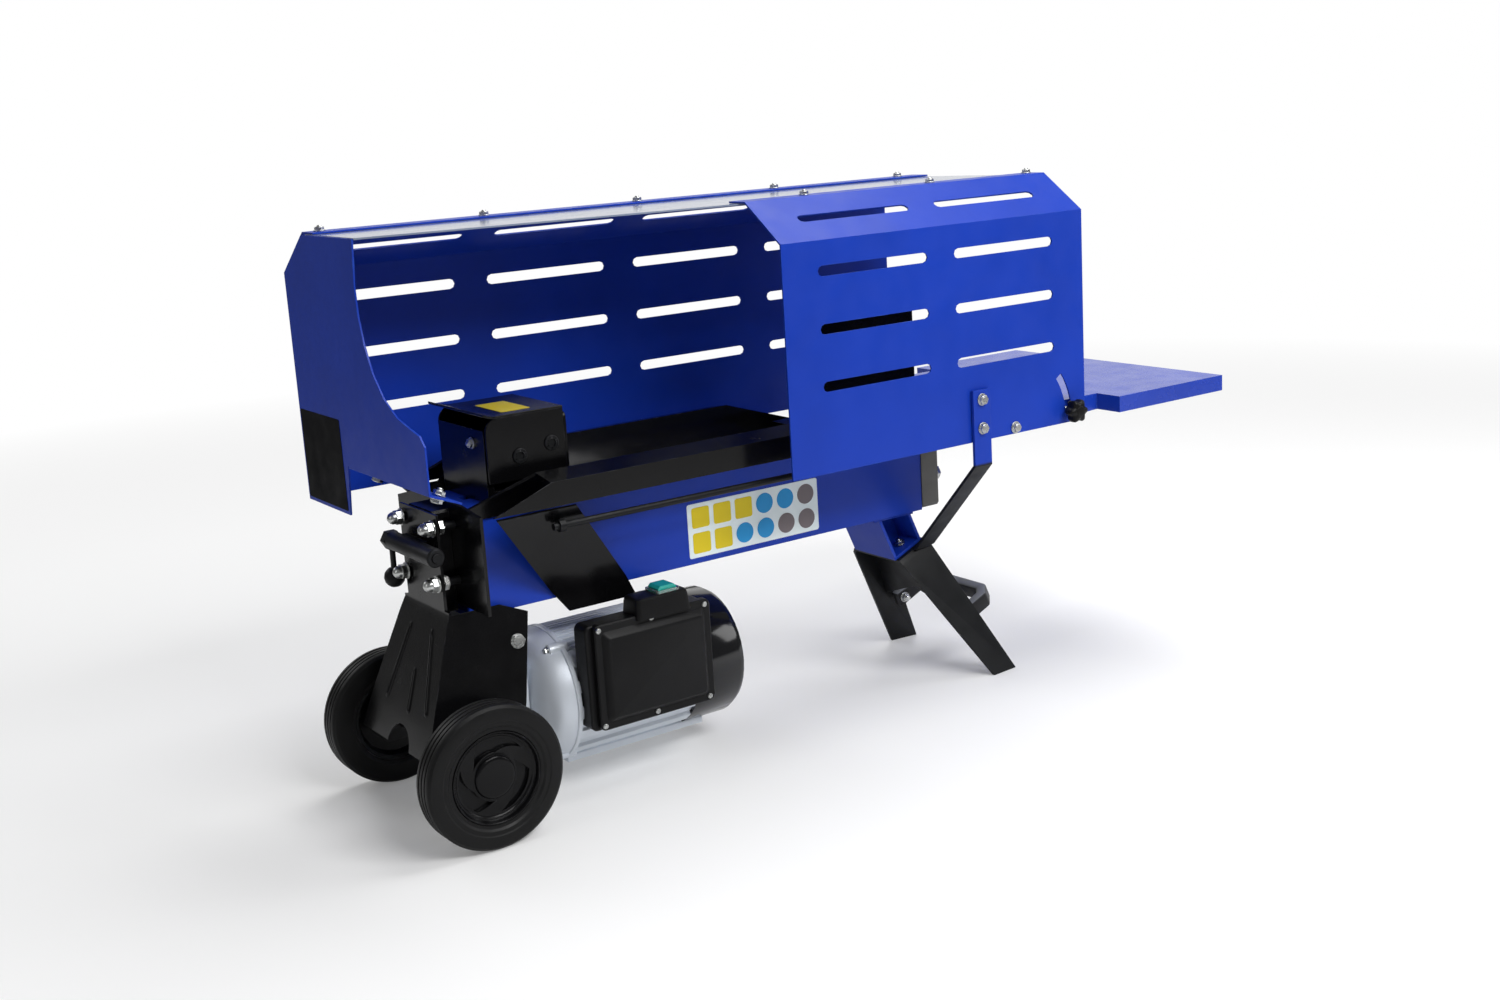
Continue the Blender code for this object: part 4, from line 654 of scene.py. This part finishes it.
def labels():
    """A marked plate on the beam, a black film on the end panel and a yellow one on the pusher, all plain."""
    near = span("beam")[0].y
    x0, x1, z0, z1 = BEAM_LABEL
    plate = plate_on_y([(near + 0.2, x0, x1, z0, z1, 3), (near - FILM, x0, x1, z0, z1, 3)])
    piece("label_plate", plate, "label", "frame")
    for row, colours in enumerate(MARK_ROWS):
        for column, colour in enumerate(colours):
            x = x0 + MARK_INSET_X + column * MARK_PITCH
            z = z1 - MARK_INSET_Z - row * MARK_ROW_PITCH
            mark = prism(mark_outline(colour, x, z), "Y", near - 0.3, near - 0.6)
            piece(f"label_mark_{row + 1}_{column + 1}", mark, f"label_{colour}", "frame")
    face = span("guard_end")[0].x
    sticker = prism(rounded_rectangle(*END_STICKER, 2), "X", face + 0.2, face - FILM)
    piece("end_sticker", sticker, "label_black", "frame")
    roof = span("pusher_cover")[1].z
    yellow = prism(rounded_rectangle(*PUSHER_LABEL, 2), "Z", roof - 0.2, roof + FILM)
    piece("pusher_label", yellow, "label_yellow", "pusher")


# ---------------------------------------------------------------- pusher


def pusher_hood():
    """Bent cover over the pusher: rounded cheeks and a roof whose rear lip widens and turns up."""
    low, high = span("pusher_cover")
    front, rear, roof = high.x, low.x, high.z - HOOD_T
    side, outer = HOOD_INNER_Y, HOOD_INNER_Y + HOOD_T
    cheek_rear, corner_z = rear + 5, roof + 1.5 - HOOD_CORNER
    shapes = []
    for sign in (-1, 1):
        outline = [(cheek_rear, HOOD_BOTTOM_Z), (front, HOOD_BOTTOM_Z), (front, roof + 1.5)]
        for i in range(9):
            a = math.radians(90 + 90 * i / 8)
            u, v = cheek_rear + HOOD_CORNER * (1 + math.cos(a)), corner_z + HOOD_CORNER * math.sin(a)
            outline.append((u, v))
        shapes.append(prism(outline, "Y", sign * side, sign * outer))
    # Stations from the front to the lip: place, rise of the roof, half its width
    stations = [
        (front, 0, outer),
        (rear + 30, 0, outer),
        (rear + 22, 0.1, side + 4),
        (rear + 14, 0.8, side + 8.5),
        (rear + 6, 2.6, side + 11.5),
        (rear - 1, 5.6, side + 12),
    ]
    rings = []
    for x, rise, half in stations:
        z = roof + rise
        rings.append([(x, -half, z), (x, half, z), (x, half, z + HOOD_T), (x, -half, z + HOOD_T)])
    shapes.append(loft(rings))
    piece("pusher_hood", join(*shapes), "black", "pusher", bevel=0.9, replaces=["pusher_cover"])
    for sign, name in ((-1, "near"), (1, "far")):
        for number, (x, z) in enumerate(CHEEK_SCREWS, 1):
            spot = (x, sign * outer, z)
            socket_screw(f"cheek_screw_{name}_{number}", spot, Y * sign, "pusher", 8.6, "satin")
    bolt("rear_nut", (span("pusher_block")[0].x, -26, 417), -X, "pusher", 4.6, 3.6, 6.6, tail=2.0)
    plate = rounded_rectangle(-56, 56, 362, 440, 6)
    face = prism(plate, "X", high.x + 0.8, high.x + 4.8)
    piece("face_plate", face, "black", "pusher", bevel=0.8)


# ---------------------------------------------------------------- valve end


def valve_end():
    """Washers, nuts and domed caps on the four tie rods at the front, washers and nuts at the other end."""
    end = span("end_plate")[1].x
    for number in range(1, 5):
        spot = middle(f"tie_rod_{number}")
        front = (-0.3, spot.y, spot.z)
        shapes = [washer_shape(front, -X, 9.6, 1.4), nut_shape(front, -X, 7.4, 7.5, 1.4)]
        shapes.append(turned([(8, 7.2), (11.5, 6.9), (14.5, 5.2), (16.2, 2.6), (16.5, 0.4)], front, -X, 32))
        shapes.append(nut_shape((5.7, spot.y, spot.z), X, 7.4, 6.0))
        piece(f"tie_nut_front_{number}", join(*shapes), "zinc", "frame")
        rear = (end + 0.1, spot.y, spot.z)
        shapes = [washer_shape(rear, X, 11.0, 1.5), nut_shape(rear, X, 8.4, 6.4, 1.5)]
        shapes.append(shank_shape(rear, X, 4.4, 7.0, 11.5))
        piece(f"tie_nut_rear_{number}", join(*shapes), "zinc", "frame")


# ---------------------------------------------------------------- wheel bracket


def face_point(y, z, lift=0.0):
    """A point on the bracket's leaning face, lifted off it by so many millimetres."""
    top, bottom = Vector(FACE_TOP), Vector(FACE_BOTTOM)
    share = (top.z - z) / (top.z - bottom.z)
    outward = Vector((-(top.z - bottom.z), 0, top.x - bottom.x)).normalized()
    return Vector((top.x + (bottom.x - top.x) * share, y, z)) + outward * lift


def rib(name, start, end):
    """A pressed rib: a low rounded ridge that dies away at both ends."""
    width, height = 7.0, 3.2
    outward = (face_point(0, 150, 1) - face_point(0, 150)).normalized()
    first, last = face_point(*start, lift=-1.2), face_point(*end, lift=-1.2)
    along = (last - first).normalized()
    across = along.cross(outward)
    length = (last - first).length
    rings = []
    for i in range(25):
        place = i / 24
        nearest = min(place, 1 - place) * length
        taper = math.sqrt(max(0.03, 1 - max(0.0, 1 - nearest / (width * 0.8)) ** 2))
        ring = []
        for k in range(12):
            a = 2 * math.pi * k / 12
            lift = height * max(math.sin(a), -0.3) * taper
            sideways = across * math.cos(a) * width / 2 * taper
            ring.append(first + along * length * place + sideways + outward * lift)
        rings.append(ring)
    piece(name, loft(rings), "black", "frame", smooth=60)


def bracket_details():
    """Three pressed ribs on the leaning face, and a bolt on each cheek."""
    rib("bracket_rib_near", (-27, 223), (-60, 134))
    rib("bracket_rib_middle", (-9, 177), (-17, 128))
    rib("bracket_rib_far", (24, 220), (43, 131))
    for sign, name in ((-1, "near"), (1, "far")):
        spot, away = (Vector((x, sign * y, z)) for x, y, z in (CHEEK_BOLT, CHEEK_OUT))
        bolt(f"cheek_bolt_{name}", spot, away, "frame", 6.6, 4.6, 8.4)


# ---------------------------------------------------------------- wheels


def tread_profile():
    """The tyre's section as (place across it, radius), from its inner bore over the grooved tread."""
    half, radius = WHEEL_HALF, WHEEL_R
    shoulder = [(half, 72), (half - 1.2, 76.5), (half - 4, 79.4), (half - 6, radius)]
    profile = [(-half + 3, TYRE_BORE_R), (-half, 57)]
    profile += [(-place, r) for place, r in shoulder]
    for groove in GROOVES:
        profile += [(groove - 1.3, radius), (groove - 0.9, radius - 2.4)]
        profile += [(groove + 0.9, radius - 2.4), (groove + 1.3, radius)]
    profile += reversed(shoulder)
    profile += [(half, 64), (half - 0.8, 62.5), (half - 0.8, 58), (half - 2.6, 55.5), (half - 3, TYRE_BORE_R)]
    return profile


def disc_profile():
    """The disc's section: hub bore, inner face, rolled rim and stepped outer face, ending at the centre."""
    half = WHEEL_HALF
    bore = [(HUB_BORE_END, 0.5), (HUB_BORE_END, HUB_R), (-half + 5, HUB_R)]
    inner = [(-half + 5, 17), (-5, 19), (-5, 43)]
    seat = [(-half + 6, 47), (-half + 4, 51.6), (half - 4, 51.6), (half - 2.2, 51.0), (half - 2.0, 49.8)]
    dish = [(half - 3.2, 48.8), (half - 7.0, 48.0), (half - 8.0, 47.0), (half - 8.2, 45.4)]
    dish += [(half - 9.4, 44.4)]
    cap = [(half - 10.0, 43), (half - 9.0, 25.5), (half - 8.4, 24.0), (half - 6.2, 23.0), (half - 5.4, 22.0)]
    return bore + inner + seat + dish + cap + [(half - 4.8, 19.0), (half - 4.5, 0.5)]


def pocket_outline(start):
    """One swirl pocket's outline: along the rim, in along a curve, back along the hub and out again."""
    reach = POCKET_OUT_R - POCKET_IN_R
    outline = [(POCKET_OUT_R, start + math.radians(80) * i / 10) for i in range(11)]
    for i in range(1, 7):
        radius = POCKET_OUT_R - reach * math.sin(math.pi / 2 * i / 6)
        outline.append((radius, start + math.radians(80 + 6 * i)))
    outline += [(POCKET_IN_R, start + math.radians(116 - 7 * i)) for i in range(1, 11)]
    outline += [(POCKET_IN_R + reach * i / 6, start + math.radians(46 - 46 * i / 6)) for i in range(1, 6)]
    return [(r * math.cos(a), r * math.sin(a)) for r, a in outline]


def wheel(side, name):
    """A grooved tyre on a closed disc with shallow swirl pockets in its outer face."""
    centre, out, body = middle(f"tyre_{name}"), Y * side, f"wheel_{name}"
    tread = turned(tread_profile(), centre, out, 96, closed=True)
    piece(f"tread_{name}", tread, "rubber", body, smooth=28, replaces=[f"tyre_{name}"])
    disc = piece(f"disc_{name}", turned(disc_profile(), centre, out, 96), "rim", body, smooth=28,
                 replaces=[f"rim_{name}"])
    along, across, up = basis(out)
    pockets = []
    for spoke in range(POCKETS):
        outline = pocket_outline(math.radians(-24 + 120 * spoke))
        levels = []
        for depth in (WHEEL_HALF - 14.5, WHEEL_HALF + 5):
            levels.append([Vector(centre) + along * depth + across * u + up * v for u, v in outline])
        pockets.append(loft(levels))
    cut(disc, pockets)


# ---------------------------------------------------------------- motor


def motor():
    """Finned shell with its sole, four tie bosses with bolts, and the rounded seam at the front shield."""
    low, high = span("motor_frame")
    x0, x1 = low.x, high.x
    shaft = middle("motor_frame").z
    outline, bore = [], []
    for degree in range(360):
        a = math.radians(degree)
        pitch, duty, depth = FINE_FINS if 52 < degree < 128 else COARSE_FINS
        raised = (degree % pitch) / pitch < duty
        r = SHELL_R if raised else SHELL_R - depth
        outline.append((r * math.cos(a), shaft + r * math.sin(a)))
        bore.append((SHELL_BORE_R * math.cos(a), shaft + SHELL_BORE_R * math.sin(a)))
    loops = ((outline, x0), (outline, x1), (bore, x1), (bore, x0))
    rings = [[(x, u, v) for u, v in loop] for loop, x in loops]
    piece("motor_shell", loft(rings, closed=True), "aluminium", "frame", replaces=["motor_frame"])
    sole = prism([(-33, 25), (33, 25), (33, 33), (26, 40), (-26, 40), (-33, 33)], "X", x0 + 2, x1 + 30)
    piece("motor_sole", sole, "aluminium", "frame", bevel=1.0)
    for number, degree in enumerate(BOSS_ANGLES, 1):
        a = math.radians(degree)
        spot = (x0 + BOSS_START, BOSS_PLACE_R * math.cos(a), shaft + BOSS_PLACE_R * math.sin(a))
        boss = turned([(0, 6.0), (1.2, 7.4), (12, 7.8), (24, 7.8)], spot, X, 32)
        piece(f"tie_boss_{number}", boss, "aluminium", "frame")
        bolt(f"motor_bolt_{number}", spot, -X, "frame", 3.6, 2.8, 5.2)
    seam = [(-4, 78.9), (-3, 80.0), (1.5, 80.0), (2.5, 78.6), (2.5, 70), (-4, 70)]
    piece("motor_seam", turned(seam, (x0, 0, shaft), X, 96, closed=True), "aluminium", "frame")


def switch_box():
    """Base on the motor's side, and a cover with a sloping shoulder round a raised panel, held by screws."""
    low, high = span("switch_box")
    x0, x1, z0, z1 = low.x, high.x, low.z, BOX_TOP_Z
    base = plate_on_y([
        (-70, x0 - 9, x1 + 2, z0 - 1, z1 - 1, 8),
        (-93, x0 - 9, x1 + 2, z0 - 1, z1 - 1, 8),
        (-94.5, x0 - 7.5, x1 + 0.5, z0 + 0.5, z1 - 2.5, 7),
    ])
    cover = plate_on_y([
        (-93, x0 - 1, x1 + 5, z0, z1, 7),
        (-101, x0 - 1, x1 + 5, z0, z1, 7),
        (-102.5, x0 + 0.5, x1 + 3.5, z0 + 1.5, z1 - 1.5, 6),
        (-102.6, x0 + 7, x1 - 4, z0 + 9, z1 - 9, 6),
        (-109.0, x0 + 12, x1 - 9, z0 + 14, z1 - 15, 5),
        (-110.0, x0 + 14, x1 - 11, z0 + 16, z1 - 17, 4),
    ])
    piece("switch_base", base, "plastic", "frame", replaces=["switch_box"])
    piece("switch_cover", cover, "plastic", "frame")
    button_hood()
    columns = (x0 + 4, (x0 + x1) / 2 - 1, x1 - 3)
    spots = [(x, z) for z in (z1 - 6, z0 + 6) for x in columns]
    for number, (x, z) in enumerate(spots, 1):
        pan_screw(f"cover_screw_{number}", (x, COVER_FACE_Y, z), -Y, "frame")


def button_hood():
    """The hood over the start button, with a well for it and a clear lip round the well."""
    (x0, y0, _), (x1, y1, _) = span("start_button")
    (left, right), (front, back) = BUTTON_HOOD_X, BUTTON_HOOD_Y
    rings = []
    for z, grow in ((198, 4), (216, 2.5), (220.5, 1.5), (222, -0.5)):
        outline = rounded_rectangle(left - grow, right + grow, front - grow, back + grow, 6)
        rings.append([(u, v, z) for u, v in outline])
    hood = piece("switch_hood", loft(rings), "plastic", "frame")
    well = rounded_rectangle(x0 - 1, x1 + 1, y0 - 1, y1 + 1, 2)
    cut(hood, [prism(well, "Z", BUTTON_WELL_Z, 230)])
    lip = rounded_rectangle(x0 - 3.5, x1 + 3.5, y0 - 3, y1 + 3, 3)
    loops = ((lip, 221.5), (lip, 225.5), (well, 225.5), (well, 221.5))
    rings = [[(u, v, z) for u, v in outline] for outline, z in loops]
    piece("button_surround", loft(rings, closed=True), "clear", "frame")


# ---------------------------------------------------------------- leg and foot


def on_leg(along, across, y):
    """A point so far down the slanting leg and so far across it from its front, under the beam."""
    down = Vector((math.sin(LEAN), 0, -math.cos(LEAN)))
    over = Vector((math.cos(LEAN), 0, math.sin(LEAN)))
    return Vector((LEG_START_X, y, span("beam")[0].z)) + down * along + over * across


def foot_details():
    """Bolts through the leg's end into the foot, and spacers and bolts between the handle and the toes."""
    up = (on_leg(0, 0, 0) - on_leg(1, 0, 0)).normalized()
    for sign, name in ((-1, "near"), (1, "far")):
        stand = on_leg(LEG_BOLT_DOWN, LEG_BOLT_ACROSS, sign * LEG_BOLT_Y)
        bolt(f"leg_bolt_{name}", stand, up, "frame", 5.0, 4.0, 7.4, tail=3.0)
        arm = on_leg(HANDLE_DOWN, HANDLE_ACROSS, sign * HANDLE_ARM_Y)
        inward = Vector((0, -sign, 0))
        shapes = [washer_shape(arm, inward, 7.0, 1.3), nut_shape(arm, inward, 5.2, 4.6, 1.3)]
        shapes.append(shank_shape(arm, inward, 3.6, 5.0, 9.5))
        spacer = on_leg(HANDLE_DOWN, HANDLE_ACROSS, sign * HANDLE_SPACER_Y)
        shapes.append(turned([(0, 6.0), (2.4, 6.0), (3.0, 5.4)], spacer, -inward, 28))
        piece(f"handle_bolt_{name}", join(*shapes), "zinc", "frame")


# ---------------------------------------------------------------- stage, in the frame's metres

FLOOR_R, FLOOR_Z = 40, -0.0005
# How brightly the floor and the sky shine on the object, while the camera sees both as white
FLOOR_GLOW, SKY_LIGHT = 0.12, 0.17
# Name, place, what it points at, size, power in watts
AREA_LIGHTS = (
    ("key", (0.2, -2.2, 2.2), (0, 0, 0.35), (1.8, 0.9), 58),
    ("side", (2.1, -1.1, 1.1), (0.1, 0, 0.3), (0.9, 0.9), 9),
    ("overhead", (0.9, 0.2, 2.8), (0, 0, 0.3), (3.0, 1.6), 64),
    ("front", (-2.4, -0.2, 1.0), (-0.3, 0, 0.3), (0.5, 0.9), 3),
    ("backdrop", (2.0, 2.8, 0.95), (0, 0, 0.4), (4.5, 1.6), 14),
    ("behind", (-1.2, 2.2, 1.5), (0, 0, 0.3), (1.4, 1.0), 8),
)
CAMERA_PLACE = (-1.23682, -1.70942, 0.76651)
CAMERA_AZIMUTH, CAMERA_ELEVATION, CAMERA_ROLL = -35.325, 12.082, -3.268
CAMERA_LENS, CAMERA_SHIFT = 40.99, (-0.01565, -0.02408)


def floor():
    """A wide pale floor that turns into the backdrop's white far from the object."""
    mesh = bpy.data.meshes.new("floor")
    count = 96
    points = [(0, 0, FLOOR_Z)]
    for i in range(count):
        a = 2 * math.pi * i / count
        points.append((FLOOR_R * math.cos(a), FLOOR_R * math.sin(a), FLOOR_Z))
    mesh.from_pydata(points, [], [(0, i + 1, (i + 1) % count + 1) for i in range(count)])
    made = bpy.data.objects.new("floor", mesh)
    bpy.context.scene.collection.objects.link(made)
    graph = Graph("pale_floor")
    graph.set(graph.shader.inputs["Base Color"], (0.93, 0.93, 0.93, 1))
    graph.set(graph.shader.inputs["Roughness"], 0.85)
    seen = graph.node("LightPath").outputs["Is Camera Ray"]
    strength = graph.remap(seen, 0, 1, FLOOR_GLOW, 1)
    glow = graph.node("Emission", {"Color": (1, 1, 1, 1), "Strength": strength}).outputs[0]
    distance = graph.node("VectorMath", {0: graph.node("TexCoord").outputs["Object"]}, operation="LENGTH")
    share = graph.remap(distance.outputs["Value"], 1.0, 3.2, 0.15, 1.0)
    blend = graph.node("MixShader", {0: share, 1: graph.shader.outputs[0], 2: glow})
    graph.set(graph.tree.nodes["Material Output"].inputs[0], blend.outputs[0])
    mesh.materials.append(graph.material)


def area_light(name, place, aim, size, power):
    """A rectangular lamp turned towards a point."""
    data = bpy.data.lights.new(name, "AREA")
    data.shape = "RECTANGLE"
    data.size, data.size_y = size
    data.energy = power
    made = bpy.data.objects.new(name, data)
    bpy.context.scene.collection.objects.link(made)
    made.location = place
    made.rotation_euler = (Vector(aim) - Vector(place)).to_track_quat("-Z", "Y").to_euler()


def lights():
    """A white sky that lights only softly, and large lamps round the object."""
    world = bpy.data.worlds.new("studio")
    bpy.context.scene.world = world
    world.use_nodes = True
    tree = world.node_tree
    background = tree.nodes["Background"]
    background.inputs[0].default_value = (1, 1, 1, 1)
    seen = tree.nodes.new("ShaderNodeLightPath").outputs["Is Camera Ray"]
    strength = tree.nodes.new("ShaderNodeMapRange")
    strength.inputs[3].default_value = SKY_LIGHT
    strength.inputs[4].default_value = 1.0
    tree.links.new(seen, strength.inputs[0])
    tree.links.new(strength.outputs[0], background.inputs[1])
    for name, place, aim, size, power in AREA_LIGHTS:
        area_light(name, place, aim, size, power)
    bpy.context.scene.view_settings.view_transform = "Standard"


def camera():
    """A long-lens view from the near left, a little above the guard's top."""
    azimuth, elevation, roll = (math.radians(a) for a in (CAMERA_AZIMUTH, CAMERA_ELEVATION, CAMERA_ROLL))
    level = math.cos(elevation)
    back = Vector((math.sin(azimuth) * level, -math.cos(azimuth) * level, math.sin(elevation)))
    right = (-back).cross(Z).normalized()
    up = right.cross(-back)
    level_right = right * math.cos(roll) + up * math.sin(roll)
    level_up = up * math.cos(roll) - right * math.sin(roll)
    data = bpy.data.cameras.new("camera")
    data.lens, data.sensor_width = CAMERA_LENS, 36.0
    data.shift_x, data.shift_y = CAMERA_SHIFT
    data.clip_start, data.clip_end = 0.05, 200
    made = bpy.data.objects.new("camera", data)
    bpy.context.scene.collection.objects.link(made)
    matrix = Matrix((level_right, level_up, back)).transposed().to_4x4()
    matrix.translation = Vector(CAMERA_PLACE)
    made.matrix_world = matrix
    bpy.context.scene.camera = made


dress_nodes()
guard_fittings()
side_bolts()
knob_grip()
labels()
pusher_hood()
valve_end()
bracket_details()
wheel(-1, "near")
wheel(1, "far")
motor()
switch_box()
foot_details()
floor()
lights()
camera()
